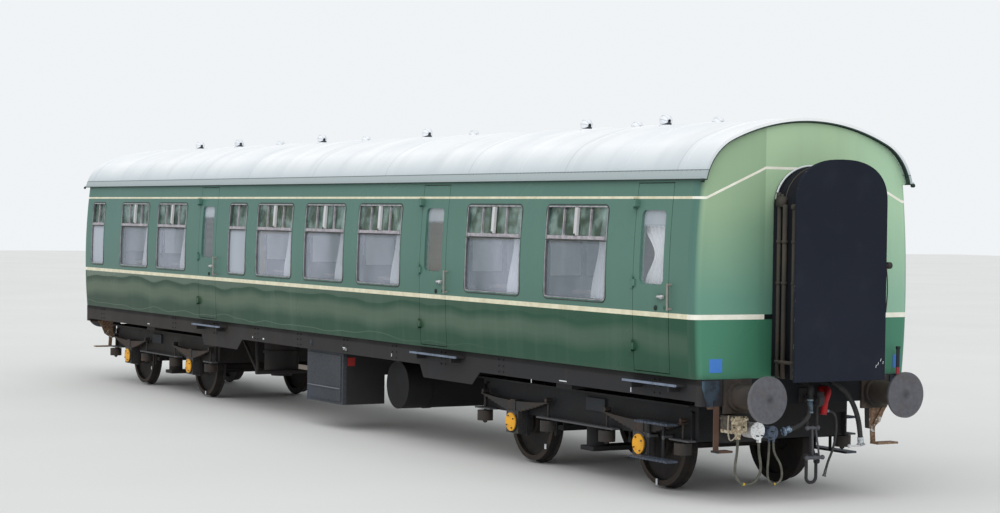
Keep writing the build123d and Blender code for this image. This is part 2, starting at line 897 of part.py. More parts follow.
# Side frame: a plate with flanges, cut away around each axlebox
def side_frame():
    half = axle_offset + frame_overhang
    web = block(-half, half, frame_web_y, frame_web_y + frame_web, frame_bottom_z, frame_top_z)
    top = block(-half, half, frame_web_y, frame_flange_y, frame_top_z - frame_flange, frame_top_z)
    bottom = block(-half, half, frame_web_y, frame_flange_y, frame_bottom_z, frame_bottom_z + frame_flange)
    frame = web + top + bottom
    for side in (-1, 1):
        x = side * axle_offset
        x0 = x - horn_half_gap
        x1 = x + horn_half_gap
        gap = block(x0, x1, axlebox_inner_y + 20, axlebox_outer_y + 115, frame_bottom_z - 1, axlebox_top_z + 25)
        low = x - spring_room_half
        high = x + spring_room_half
        web_face = frame_web_y + frame_web
        room_top = frame_top_z - frame_flange
        spring_room = block(low, high, web_face, axlebox_outer_y + 115, frame_bottom_z - 1, room_top)
        frame = frame - gap - spring_room
        guide_bottom = axlebox_bottom_z - 22
        for edge in (-1, 1):
            near = x + edge * axlebox_half
            far = x + edge * (axlebox_half + 34)
            x0 = min(near, far)
            x1 = max(near, far)
            frame = frame + block(x0, x1, frame_web_y, frame_web_y + 45, guide_bottom, axlebox_top_z + 60)
        tie = block(
            x - axlebox_half - 34,
            x + axlebox_half + 34,
            frame_web_y,
            frame_web_y + 40,
            axlebox_bottom_z - 22,
            axlebox_bottom_z,
        )
        frame = frame + tie
        for edge in (-1, 1):
            foot = (x + edge * hanger_offset, spring_y, frame_bottom_z - 5)
            top = (x + edge * hanger_offset, spring_y, frame_bottom_z + 40)
            frame = frame - rod(foot, top, hanger_radius)
    return frame


def bogie_frame():
    half = axle_offset + frame_overhang
    side = side_frame()
    frame = side + across(side)
    inner = frame_web_y
    bolster = block(-bolster_half, bolster_half, -inner, inner, bolster_bottom_z, bolster_top_z)
    plate = rod((0, 0, bolster_top_z), (0, 0, body_bolster_bottom - pivot_clearance), centre_plate_radius)
    frame = frame + bolster + plate
    for end in (-1, 1):
        x0 = min(end * transom_inner, end * (transom_inner + transom_depth))
        x1 = max(end * transom_inner, end * (transom_inner + transom_depth))
        frame = frame + block(x0, x1, -inner, inner, bolster_bottom_z + 60, bolster_top_z - 10)
        h0 = min(end * (half - 70), end * half)
        h1 = max(end * (half - 70), end * half)
        frame = frame + block(h0, h1, -inner, inner, frame_top_z - 130, frame_top_z)
        for y in (-link_beam_y, link_beam_y):
            l0 = min(end * (bolster_half - 10), end * (transom_inner + 10))
            l1 = max(end * (bolster_half - 10), end * (transom_inner + 10))
            y0 = y - link_beam_half
            y1 = y + link_beam_half
            frame = frame + block(l0, l1, y0, y1, bolster_bottom_z + 80, bolster_top_z - 20)
    frame = frame + block(-plank_half, plank_half, -plank_y, plank_y, plank_z, plank_z + plank_thickness)
    for y in (-nest_y, nest_y):
        nest_foot = (0, y, plank_z + plank_thickness - 2)
        frame = frame + rod(nest_foot, (0, y, bolster_bottom_z + 2), nest_radius)
    bore = rod((0, 0, bolster_bottom_z - 1), (0, 0, body_bolster_bottom + 5), pivot_radius + pivot_clearance)
    return frame - bore


# Brake gear: a beam with two curved shoes, hung from the transom beside each wheelset
def brake_gear():
    gear = []
    for end in (-1, 1):
        face = transom_inner + transom_depth
        axle_x = axle_offset
        ring_outer = tread_radius + shoe_clearance + shoe_depth
        ring_inner = tread_radius + shoe_clearance
        beam_y = shoe_centre_y + 30
        beam_top = brake_beam_z + brake_beam_depth
        beam = block(face, face + brake_beam_depth, -beam_y, beam_y, brake_beam_z, beam_top)
        for y in (-shoe_centre_y, shoe_centre_y):
            y0 = y - shoe_width / 2
            y1 = y + shoe_width / 2
            ring = disc_y(axle_x, tread_radius, ring_outer, y0, y1)
            ring = ring - disc_y(axle_x, tread_radius, ring_inner, y0 - 1, y1 + 1)
            shoe = ring & block(axle_x - 700, axle_x - 300, y0, y1, 330, 560)
            arm = block(face, axle_x - ring_inner - 14, y - 20, y + 20, brake_beam_z + 5, beam_top - 5)
            hanger = block(face, face + 26, y - 22, y + 22, brake_beam_z + 5, bolster_top_z - 60)
            beam = beam + shoe + arm + hanger
        if end < 0:
            beam = mirror(beam, Plane.YZ)
        gear.append(beam)
    return gear


# A plate that stands on the side frame beside the bolster
def bearer_plate():
    return block(
        bearer_low,
        bearer_high,
        frame_web_y + frame_web / 2,
        frame_web_y + frame_web + bearer_out,
        bearer_bottom_z,
        bearer_top_z,
    )


# Two boards beside the outer axlebox, on posts that are held to its guide and to the side frame
def footboards():
    x1 = axle_offset + footboard_reach
    y0 = frame_flange_y
    y1 = frame_flange_y + footboard_width
    top = footboard_upper_z + footboard_thickness
    boards = block(axle_offset + 110, x1, y0, y1, footboard_upper_z, top)
    lower_top = footboard_lower_z + footboard_thickness
    boards = boards + block(axle_offset + 30, x1, y0, y1, footboard_lower_z, lower_top)
    guide_x = axle_offset + axlebox_half + 18
    boards = boards + block(guide_x, guide_x + 42, y0, y0 + 14, footboard_lower_z, top)
    arm_z = frame_bottom_z - 13
    boards = boards + block(guide_x, guide_x + 42, frame_web_y + 44, y0 + 1, arm_z, arm_z + 35)
    post_x = axle_offset + 415
    boards = boards + block(post_x, post_x + 36, y0, y0 + 14, footboard_lower_z, top)
    arm_z = frame_bottom_z + 8
    boards = boards + block(post_x, post_x + 36, frame_web_y + 2, y0 + 1, arm_z, arm_z + 34)
    return boards


# Buffers: a square base with a sleeve, and a ram with a domed head
def buffer_housing():
    x0 = body_half
    x1 = x0 + buffer_base_thickness
    half = buffer_base / 2
    base = block(x0, x1, buffer_y - half, buffer_y + half, buffer_z - half, buffer_z + half)
    sleeve_end = (x1 + buffer_sleeve_length, buffer_y, buffer_z)
    sleeve = rod((x1, buffer_y, buffer_z), sleeve_end, buffer_sleeve_radius)
    collar = rod((x1, buffer_y, buffer_z), (x1 + 45, buffer_y, buffer_z), buffer_sleeve_radius + 26)
    end = x1 + buffer_sleeve_length + 1
    bore = rod((x1 + 60, buffer_y, buffer_z), (end, buffer_y, buffer_z), buffer_ram_radius + 1)
    return base + sleeve + collar - bore


def buffer_ram():
    start = body_half + buffer_base_thickness + 60
    head_back = buffer_face_x - buffer_dome - buffer_head_rim
    dome_radius = (buffer_head_radius ** 2 + buffer_dome ** 2) / (2 * buffer_dome)
    half_turn = math.asin(buffer_head_radius / dome_radius) / 2
    outline = [
        Polyline(
            (start, 0),
            (start, buffer_ram_radius),
            (head_back - 40, buffer_ram_radius),
            (head_back, buffer_head_radius * 0.55),
            (head_back, buffer_head_radius),
            (head_back + buffer_head_rim, buffer_head_radius),
        ),
        ThreePointArc(
            (head_back + buffer_head_rim, buffer_head_radius),
            (buffer_face_x - dome_radius * (1 - math.cos(half_turn)), dome_radius * math.sin(half_turn)),
            (buffer_face_x, 0),
        ),
        Line((buffer_face_x, 0), (start, 0)),
    ]
    turned = revolve(make_face(outline), Axis.X)
    return Pos(0, buffer_y, buffer_z) * turned


def drawhook_solid():
    x0 = body_half
    tip = x0 + hook_reach
    outline = Polyline(
        (x0, hook_z - 42),
        (tip - 75, hook_z - 42),
        (tip - 20, hook_z - 62),
        (tip + 24, hook_z - 34),
        (tip + 34, hook_z + 34),
        (tip + 12, hook_z + 86),
        (tip - 12, hook_z + 80),
        (tip - 8, hook_z + 24),
        (tip - 52, hook_z + 12),
        (tip - 80, hook_z + 42),
        (x0, hook_z + 42),
        close=True,
    )
    hook = extrude(Plane.XZ * make_face(outline), amount=hook_thickness / 2, both=True)
    plate = block(x0, x0 + 18, -hook_plate_half, hook_plate_half, headstock_bottom + 10, hook_z + 110)
    return hook + plate


# Screw coupling hanging from the pin through the drawhook
def coupling_solid():
    x = body_half + hook_eye
    half = coupling_half
    bar = coupling_bar_radius
    collar = bar + 5
    coupling = disc_y(x, hook_z, hook_eye_radius, -half - collar, half + collar)
    for y in (-half, half):
        coupling = coupling + rod((x, y, hook_z), (x, y, coupling_upper_z), bar)
        for z in (coupling_upper_z, coupling_lower_z):
            coupling = coupling + disc_y(x, z, bar * 1.7, y - collar, y + collar)
    for z in (coupling_upper_z, coupling_lower_z):
        coupling = coupling + disc_y(x, z, bar * 1.2, -half, half)
    coupling = coupling + rod((x, 0, coupling_upper_z), (x, 0, coupling_lower_z), bar * 1.35)
    link_path = FilletPolyline(
        (x, -half, coupling_lower_z),
        (x, -half, coupling_foot_z),
        (x, half, coupling_foot_z),
        (x, half, coupling_lower_z),
        radius=half * 0.9,
    )
    section = Plane(origin=(x, -half, coupling_lower_z), z_dir=(0, 0, -1)) * Circle(bar)
    coupling = coupling + sweep(section, path=link_path)
    middle = (coupling_upper_z + coupling_lower_z) / 2
    lever_end = (x + 30, 45, middle - 190)
    coupling = coupling + rod((x, 0, middle), lever_end, 9)
    return coupling + disc_y(lever_end[0], lever_end[2], 28, 25, 65)


# Interior
def partition_solid(x):
    x0 = x - partition_thickness / 2
    inner = side_arc(wall)
    mirrored = mirror(inner, Plane.YZ)
    outline = [inner, mirrored, Line(inner @ 0, mirrored @ 0), Line(inner @ 1, mirrored @ 1)]
    lower = extrude(Plane.YZ * make_face(outline), amount=partition_thickness)
    upper = extrude(Plane.YZ * roof_face(roof_thickness), amount=partition_thickness)
    x1 = x0 + partition_thickness + 1
    whole = Pos(x0, 0, 0) * (lower + upper)
    whole = whole - block(x0 - 1, x1, -cut_outer_y, cut_outer_y, body_bottom - 1, floor_top)
    return whole - block(x0 - 1, x1, -doorway_half, doorway_half, floor_top - 1, doorway_top)


def half_seats(x, side, facing):
    y0 = aisle_half + 20
    y1 = seat_outer_y
    if side < 0:
        y0, y1 = -y1, -y0
    back0 = x + facing * 6
    back1 = x + facing * (6 + seat_back_thickness)
    front = back1 + facing * seat_depth
    cushion = block(min(back1, front), max(back1, front), y0, y1, seat_base_top, seat_base_top + seat_cushion)
    back = block(min(back0, back1), max(back0, back1), y0, y1, seat_base_top, seat_back_top)
    frame = block(
        min(back0, front), max(back0, front), y0 + 30, y1 - 30, floor_top, seat_base_top
    )
    frame = frame - block(
        min(back0 + facing * 60, front - facing * 60),
        max(back0 + facing * 60, front - facing * 60),
        y0,
        y1,
        floor_top - 1,
        seat_base_top - 70,
    )
    return cushion, back, frame


def seat_pieces():
    soft = []
    frames = []
    for x, facing in seat_rows:
        directions = (-1, 1) if facing == 0 else (facing,)
        for direction in directions:
            for side in (-1, 1):
                cushion, back, frame = half_seats(x, side, direction)
                soft.extend([cushion, back])
                frames.append(frame)
    return soft, frames


def table_pieces():
    tables = []
    for name, x0, x1, kind in windows:
        if kind == "wide":
            middle = (x0 + x1) / 2
            for side in (-1, 1):
                y0, y1 = (table_inner_y, table_outer_y)
                table_top = table_z + table_thickness
                top = block(middle - table_half, middle + table_half, y0, y1, table_z, table_top)
                leg_x0 = middle - table_leg_half
                leg = block(leg_x0, leg_x0 + 2 * table_leg_half, y0 + 60, y0 + 120, floor_top, table_z)
                table = top + leg
                tables.append(table if side > 0 else across(table))
    return tables


# Roof ventilators in pairs either side of the ridge
def roof_vents():
    turn = math.asin(vent_y / roof_top_radius)
    seat_z = roof_peak - roof_top_radius * (1 - math.cos(turn))
    roof_outer = extrude(Plane.YZ * roof_face(0), amount=body_half, both=True)
    pieces = []
    for x in vent_rows:
        neck = rod((x, vent_y, seat_z - 40), (x, vent_y, seat_z + 40), vent_radius * 0.62)
        dome = Pos(x, vent_y, seat_z + vent_height - vent_radius) * Sphere(vent_radius)
        vent = (neck + dome) - roof_outer
        pieces.append(vent)
    return pieces


def step_board_solids():
    pieces = []
    for x0, x1 in step_boards:
        y1 = solebar_face_y + step_board_out
        top = block(x0, x1, solebar_face_y, y1, step_board_z, step_board_z + step_board_thickness)
        for x in (x0 + 120, x1 - 150):
            top = top + block(x, x + 30, solebar_face_y, y1 - 20, step_board_z - 60, step_board_z)
        pieces.append(top)
    return pieces


def hanging_step():
    face = body_half + bracket_thickness
    y0 = hanging_bar_y - hanging_bar_half
    y1 = hanging_bar_y + hanging_bar_half
    bar = block(face, face + 16, y0, y1, end_tread_z, hanging_bar_top)
    tread_z0 = end_tread_z - end_tread_thickness
    return bar + block(face, face + end_tread_reach, y0 - 95, y1 + 25, tread_z0, end_tread_z)


# The other pair of end steps: a plate hung under the headstock and a cranked bar on its face
def cranked_step():
    back = body_half - cranked_plate_x
    face = back + cranked_plate_thickness
    plate_plan = Polyline(
        (buffer_y - 85, headstock_bottom),
        (buffer_y + 225, headstock_bottom),
        (buffer_y + 125, headstock_bottom - 225),
        (buffer_y + 5, headstock_bottom - 300),
        (buffer_y - 70, headstock_bottom - 285),
        close=True,
    )
    bar_plan = Polyline(
        (buffer_y + 180, headstock_bottom - 10),
        (buffer_y + 240, headstock_bottom - 10),
        (buffer_y + 40, headstock_bottom - 280),
        (buffer_y + 50, end_tread_z - end_tread_thickness),
        (buffer_y - 6, end_tread_z - end_tread_thickness),
        (buffer_y - 17, headstock_bottom - 300),
        close=True,
    )
    step = Pos(back, 0, 0) * extrude(Plane.YZ * make_face(plate_plan), amount=cranked_plate_thickness)
    step = step + Pos(face, 0, 0) * extrude(Plane.YZ * make_face(bar_plan), amount=cranked_bar_thickness)
    y0 = buffer_y - 10
    tread_z0 = end_tread_z - end_tread_thickness
    return step + block(face, face + end_tread_reach, y0, y0 + 275, tread_z0, end_tread_z)


def corner_bracket():
    inner_y = solebar_face_y - 205
    outline = Polyline(
        (inner_y, body_bottom - 12),
        (solebar_face_y - 3, body_bottom - 12),
        (solebar_face_y - 3, body_bottom - 80),
        (solebar_face_y - 68, headstock_bottom - 25),
        (hanging_bar_y - hanging_bar_half, headstock_bottom - 25),
        (inner_y, headstock_bottom + 60),
        close=True,
    )
    return Pos(body_half, 0, 0) * extrude(Plane.YZ * make_face(outline), amount=bracket_thickness)


# A lamp iron that stands on the corner bracket
def lamp_bracket():
    x0 = body_half + bracket_thickness - 1
    x1 = x0 + 46
    foot_z = body_bottom - 45
    foot = block(x0, x1, lamp_bracket_y - 28, lamp_bracket_y + 28, foot_z, foot_z + 20)
    pole = block(x1 - 20, x1 - 8, lamp_bracket_y - 20, lamp_bracket_y + 20, foot_z + 20, lamp_bracket_top)
    cap = disc_y(x1 - 14, lamp_bracket_top, 16, lamp_bracket_y - 20, lamp_bracket_y + 20)
    return foot + pole + cap


# Jumper sockets on a plate under the headstock: a lidded box, a round dummy and a round cover
def jumper_sockets():
    cable_x = body_half + cable_out
    plate_x = body_half - socket_plate_back
    plate_face = plate_x + socket_plate_thickness
    plate_z0 = socket_plate_bottom
    sockets = block(plate_x, plate_face, socket_plate_y0, socket_plate_y1, plate_z0, headstock_bottom)
    front = cable_x + 26
    box_z0 = beige_gland_z + 60
    box_z1 = beige_socket_top
    half = beige_socket_half
    sockets = sockets + block(plate_face, front, beige_socket_y - half, beige_socket_y + half, box_z0, box_z1)
    lip = half + 10
    sockets = sockets + block(
        plate_face, front + 10, beige_socket_y - lip, beige_socket_y + lip, box_z1 - 40, box_z1 - 15
    )
    throat_top = (cable_x, beige_socket_y, box_z0 + 10)
    sockets = sockets + rod((cable_x, beige_socket_y, beige_gland_z), throat_top, cable_gland_radius + 4)
    rounds = (
        (white_socket_y, white_socket_z, white_socket_radius),
        (grey_socket_y, grey_socket_z, grey_socket_radius),
    )
    for y, z, radius in rounds:
        sockets = sockets + rod((plate_face, y, z), (front + 8, y, z), radius)
        sockets = sockets + rod((front - 14, y, z), (front, y, z), radius + 9)
    gland = rod(
        (cable_x, white_gland_y, white_gland_z), (cable_x, white_gland_y, white_socket_z), cable_gland_radius
    )
    sockets = sockets + gland
    for x, y, z in (right_cable_route[0], right_cable_route[-1]):
        sockets = sockets + rod((x, y, z), (x, y, grey_socket_z), 15)
    return sockets


# Rigid pipes on the near headstock: swan neck, cock, steam stub
def end_pipes():
    hose_x = vacuum_hose_route[0][0]
    neck_path = FilletPolyline(
        (body_half, swan_neck_y, swan_neck_z),
        (hose_x, swan_neck_y, swan_neck_z),
        (hose_x, swan_neck_y, hose_top_z),
        radius=60,
    )
    neck_plane = Plane(origin=(body_half, swan_neck_y, swan_neck_z), z_dir=(1, 0, 0))
    neck = sweep(neck_plane * Circle(swan_neck_radius), path=neck_path)
    collar_top = (hose_x, swan_neck_y, hose_top_z + 14)
    neck = neck + rod((hose_x, swan_neck_y, hose_top_z), collar_top, swan_neck_radius + 8)
    cock_x, nipple_y, nipple_z = air_hose_route[0]
    cock_path = FilletPolyline(
        (body_half, cock_top_y, cock_top_z),
        (cock_x, cock_top_y, cock_top_z),
        (cock_x, cock_middle_y, cock_middle_z),
        (cock_x, cock_foot_y, cock_foot_z),
        radius=50,
    )
    cock_plane = Plane(origin=(body_half, cock_top_y, cock_top_z), z_dir=(1, 0, 0))
    cock = sweep(cock_plane * Circle(cock_radius), path=cock_path)
    cock = cock + rod((cock_x, cock_foot_y, nipple_z), (cock_x, nipple_y, nipple_z), cock_nipple_radius)
    start = Vector(*steam_hose_route[0])
    along = (Vector(*steam_hose_route[1]) - start).normalized()
    back = start - along * steam_stub_length
    steam = rod(tuple(start), tuple(back), 30)
    steam = steam + rod((body_half, back.Y, back.Z), tuple(back + along * 6), 26)
    behind = block(body_half - 200, body_half, 0, solebar_face_y, headstock_bottom, eaves_z)
    return [neck, cock, steam - behind]


# Coupling heads at the free ends of the hoses
def hose_heads():
    heads = []
    for route, diameter, length in (
        (vacuum_hose_route, vacuum_hose_diameter, 74.0),
        (air_hose_route, air_hose_diameter, 60.0),
        (steam_hose_route, steam_hose_diameter, 70.0),
    ):
        end = Vector(*route[-1])
        along = (end - Vector(*route[-2])).normalized()
        head = rod(tuple(end), tuple(end + along * length), diameter * 0.62)
        tip = end + along * length
        flange = rod(tuple(tip), tuple(tip + along * 14), diameter * 0.85)
        heads.append(head + flange)
    return heads


def handrail(x, z0, z1):
    out = skin_surface_y(z0) + 52
    inner = skin_surface_y(z0) - 20
    rail = rod((x, out, z0), (x, out, z1), 11)
    for z in (z0 + 14, z1 - 14):
        rail = rail + rod((x, inner, z), (x, out, z), 11)
    return rail


# Battery box with its door on the outer face and a short arm towards the far end
def battery_box():
    box = block(battery_x0, battery_x1, battery_inner_y, battery_outer_y, battery_bottom_z, solebar_bottom)
    arm_x = battery_x0 - battery_arm_reach
    arm_y = battery_outer_y - 50
    arm = block(arm_x, battery_x0, arm_y, arm_y + 40, battery_arm_z, battery_arm_z + 60)
    x0 = battery_x0 + battery_door_margin
    x1 = battery_x1 - battery_door_margin
    face = battery_outer_y + 12
    door = block(x0, x1, battery_outer_y, face, battery_bottom_z + 40, solebar_bottom - 40)
    strip = block(x0 + 10, x1 - 10, face, face + 12, battery_strip_z, battery_strip_z + 15)
    return box + arm + door + strip


# Vacuum drum slung across the coach from two bearers under the cross members
def vacuum_drum():
    half_cross = cross_width / 2
    drum = disc_y(drum_x, drum_z, drum_radius, -drum_half, drum_half)
    for y in (-drum_hanger_y, drum_hanger_y):
        for side in (-1, 1):
            x = drum_x + side * drum_radius * 0.7
            drum = drum + block(x - 22, x + 22, y - 40, y + 40, drum_z, cross_bottom - 10)
        drum = drum + disc_y(drum_x, drum_z, drum_radius + 8, y - 40, y + 40)
        x0 = cross_members[4] - half_cross
        x1 = cross_members[3] + half_cross
        drum = drum + block(x0, x1, y - 50, y + 50, cross_bottom - 20, cross_bottom)
    return drum


# Two upright brake cylinders under a bearer from the cross member behind them
def brake_cylinder():
    top = cross_bottom - 20
    cylinder = rod((cylinder_x, cylinder_y, cylinder_bottom_z), (cylinder_x, cylinder_y, top), cylinder_radius)
    cap_foot = (cylinder_x, cylinder_y, cylinder_bottom_z - 60)
    cylinder = cylinder + rod(cap_foot, (cylinder_x, cylinder_y, cylinder_bottom_z), cylinder_radius * 0.6)
    collar_z = (cylinder_bottom_z + top) / 2
    collar_foot = (cylinder_x, cylinder_y, collar_z)
    cylinder = cylinder + rod(collar_foot, (cylinder_x, cylinder_y, collar_z + 40), cylinder_radius + 22)
    x0 = cross_members[7] - cross_width / 2
    return cylinder + block(x0, cylinder_x + 60, cylinder_y - 60, cylinder_y + 60, top, cross_bottom)


# Tank slung between two cross members
def water_tank():
    x0 = cross_members[6] - cross_width / 2
    x1 = cross_members[5] + cross_width / 2
    middle = ((x0 + x1) / 2, (tank_y0 + tank_y1) / 2, (tank_bottom_z + cross_bottom) / 2)
    profile = RectangleRounded(tank_y1 - tank_y0, cross_bottom - tank_bottom_z, tank_corner)
    plane = Plane(origin=middle, x_dir=(0, 1, 0), z_dir=(1, 0, 0))
    return extrude(plane * profile, amount=(x1 - x0) / 2, both=True)


# Brake cross shaft in its two V hangers
def brake_shaft():
    y = brake_shaft_y
    pad_z = cross_bottom - 14
    arm_x = cross_members[7]
    shaft = disc_y(brake_shaft_x, brake_shaft_z, brake_shaft_radius, -y - 30, y + 30)
    for sign in (-1, 1):
        foot = (brake_shaft_x, sign * y, brake_shaft_z)
        for x in (arm_x, brake_shaft_x - 60):
            shaft = shaft + rod((x, sign * y, pad_z + 4), foot, 24)
        shaft = shaft + block(arm_x - 40, brake_shaft_x, sign * y - 40, sign * y + 40, pad_z, cross_bottom)
    above = block(arm_x - 200, brake_shaft_x + 200, -y - 200, y + 200, cross_bottom, cross_bottom + 100)
    return shaft - above


def main():
    side = side_solid()
    save("body_side_right", side)
    save("body_side_left", across(side))
    near_end = end_solid()
    save("body_end_near", near_end)
    save("body_end_far", to_far_end(near_end))
    save("roof", roof_solid())
    save("floor", floor_solid())
    save("solebars", both_sides(solebar_solid()))
    headstock = headstock_solid()
    save("headstocks", headstock, to_far_end(headstock))
    save("cross_members", *cross_member_solids())
    for name, x_hinge, x_lock in doors:
        door = door_solid(x_hinge, x_lock)
        glass = door_glass(x_hinge, x_lock)
        save(f"door_right_{name}", door)
        save(f"door_left_{name}", across(door))
        save(f"door_glass_right_{name}", glass)
        save(f"door_glass_left_{name}", across(glass))
    frames = [window_frame(x0, x1, kind) for name, x0, x1, kind in windows]
    panes = [window_glass(x0, x1) for name, x0, x1, kind in windows]
    save("window_frames", both_sides(*frames))
    save("window_glass", both_sides(*panes))
    gangway = gangway_solid()
    save("gangways", gangway, to_far_end(gangway))
    plate = gangway_plate()
    save("gangway_plates", plate, to_far_end(plate))
    save("buffer_housings", all_corners(buffer_housing()))
    save("buffer_heads", all_corners(buffer_ram()))
    drawgear = drawhook_solid() + coupling_solid()
    save("drawgear", drawgear, to_far_end(drawgear))
    save("roof_vents", both_sides(*roof_vents()))
    step = hanging_step()
    cranked = cranked_step()
    end_steps = (across(step), to_far_end(step), cranked, to_far_end(across(cranked)))
    save("step_boards", both_sides(*step_board_solids()), *end_steps)
    bracket = corner_bracket()
    lamp_corner = bracket + lamp_bracket()
    lamp_corners = (lamp_corner, to_far_end(across(lamp_corner)))
    save("corner_brackets", across(bracket), to_far_end(bracket), *lamp_corners)
    save("end_fittings", jumper_sockets(), *end_pipes())
    save("hose_heads", *hose_heads())
    for name, route, diameter in (
        ("jumper_cable_left", left_cable_route, left_cable_diameter),
        ("jumper_cable_right", right_cable_route, right_cable_diameter),
        ("vacuum_hose", vacuum_hose_route, vacuum_hose_diameter),
        ("air_hose", air_hose_route, air_hose_diameter),
        ("steam_hose", steam_hose_route, steam_hose_diameter),
    ):
        save(name, cord_tube(name, route, diameter))
    rails = [handrail(x_lock + 48, 1890, 2160) - side for name, x_hinge, x_lock in doors]
    save("handrails", both_sides(*rails))
    cylinders = both_sides(brake_cylinder())
    save("underframe_gear", across(battery_box()), vacuum_drum(), brake_shaft(), cylinders, water_tank())
    save("partitions", *[partition_solid(x) for x in partitions])
    soft, seat_frames = seat_pieces()
    save("seat_cushions", *soft)
    save("seat_frames", *seat_frames)
    save("tables", *table_pieces())
    frame = bogie_frame()
    springs = [Pos(side_x * axle_offset, 0, 0) * spring_set() for side_x in (-1, 1)]
    boxes = [Pos(side_x * axle_offset, 0, 0) * axlebox_solid() for side_x in (-1, 1)]
    gear = brake_gear()
    steps = footboards()
    bearer = bearer_plate()
    bearers = bearer + across(bearer)
    for name, x in (("near", bogie_x), ("far", -bogie_x)):
        place = Pos(x, 0, 0)
        carried = frame + to_far_end(bearers)
        if name == "near":
            carried = frame + bearers + steps + across(steps)
        save(f"bogie_frame_{name}", place * carried)
        save(f"leaf_springs_{name}", place * both_sides(*springs))
        save(f"axleboxes_{name}", place * both_sides(*boxes))
        save(f"brake_gear_{name}", *[place * beam for beam in gear])
        for axle_name, offset in (("inner", -axle_offset), ("outer", axle_offset)):
            if name == "far":
                offset = -offset
            spot = Pos(x + offset, 0, tread_radius)
            save(f"axle_{name}_{axle_name}", spot * axle_solid())
            save(f"wheels_{name}_{axle_name}", spot * both_sides(wheel_solid()))


main()
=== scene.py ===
import math

import bmesh
import bpy
from mathutils import Matrix, Vector


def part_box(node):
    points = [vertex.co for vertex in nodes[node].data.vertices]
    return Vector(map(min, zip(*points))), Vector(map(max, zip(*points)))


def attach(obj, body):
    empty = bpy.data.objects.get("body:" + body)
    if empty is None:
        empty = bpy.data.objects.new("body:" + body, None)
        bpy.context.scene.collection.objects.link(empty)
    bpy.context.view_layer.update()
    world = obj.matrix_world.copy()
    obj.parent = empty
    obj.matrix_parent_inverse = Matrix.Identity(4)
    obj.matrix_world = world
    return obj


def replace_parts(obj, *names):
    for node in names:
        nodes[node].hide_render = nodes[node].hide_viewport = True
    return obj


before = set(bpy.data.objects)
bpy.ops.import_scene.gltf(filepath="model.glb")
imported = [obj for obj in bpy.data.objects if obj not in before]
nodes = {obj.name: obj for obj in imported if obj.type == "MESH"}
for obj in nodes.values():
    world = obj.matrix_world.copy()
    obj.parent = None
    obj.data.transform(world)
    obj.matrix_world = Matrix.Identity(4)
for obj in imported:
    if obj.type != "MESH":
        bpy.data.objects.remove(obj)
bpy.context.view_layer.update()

# Sizes in metres. Heights are above the flange tips, which are 28 mm under the rail tops.
rail_top = 0.028
body_end = 8.763
body_bottom = 1.225 + rail_top
eaves = 3.190 + rail_top
waist_line_z = 1.838 + rail_top
waist_line_width = 0.050
black_line_half = 0.545
upper_line_z = 3.016 + rail_top
upper_line_width = 0.026
upper_line_rise = 0.310
end_middle_half = 0.553
window_bottom = 1.920 + rail_top
window_top = 2.940 + rail_top
window_corner = 0.070
transom_z = 2.590 + rail_top
bogie_x = 6.096
axle_offset = 1.2955
axle_z = 0.457 + rail_top
gangway_half = 0.450
gangway_face = 9.262
buffer_y = 0.864
buffer_z = 1.060 + rail_top
hands = ((-1, "left"), (1, "right"))
ends = ((1, "near"), (-1, "far"))

# Columns: low X, high X of each window with curtains
wide_windows = (
    (5.910, 7.140),
    (4.160, 5.400),
    (1.380, 2.560),
    (-0.190, 1.000),
    (-1.745, -0.575),
    (-5.480, -4.305),
    (-7.040, -5.850),
)
narrow_windows = ((-2.720, -2.100), (-8.380, -7.800))
all_windows = wide_windows + narrow_windows
cross_members = (8.0, 4.9, 3.55, 2.3, 0.95, -0.45, -1.85, -3.3, -4.9, -8.0)
vent_rows = (6.720, 5.140, 1.330, -1.780, -4.700, -6.240)

# Camera at the photo's place and angle
camera_place = Vector((25.986, -13.797, 2.804 + rail_top))
camera_yaw = math.radians(59.42)
camera_pitch = math.radians(-1.064)
camera_roll = math.radians(0.807)
camera_lens = 77.81


def new_object(name, data):
    thing = bpy.data.objects.new(name, data)
    bpy.context.scene.collection.objects.link(thing)
    return thing


def photo_camera():
    level = math.cos(camera_pitch)
    ahead = Vector((-math.sin(camera_yaw) * level, math.cos(camera_yaw) * level, math.sin(camera_pitch)))
    right = ahead.cross(Vector((0, 0, 1))).normalized()
    up = right.cross(ahead)
    turned_right = math.cos(camera_roll) * right + math.sin(camera_roll) * up
    turned_up = math.cos(camera_roll) * up - math.sin(camera_roll) * right
    turn = Matrix((turned_right, turned_up, -ahead)).transposed().to_4x4()
    data = bpy.data.cameras.new("photo_camera")
    data.lens = camera_lens
    data.sensor_width = 36.0
    data.clip_end = 200.0
    camera = new_object("photo_camera", data)
    camera.matrix_world = Matrix.Translation(camera_place) @ turn
    bpy.context.scene.camera = camera


photo_camera()

# Finishes
finishes = {}


def colour(red, green, blue):
    """A colour as it looks on a screen, 0 to 255, turned into the linear one that a shader takes."""
    values = []
    for part in (red, green, blue):
        share = part / 255
        values.append(share / 12.92 if share <= 0.04045 else ((share + 0.055) / 1.055) ** 2.4)
    return (*values, 1.0)


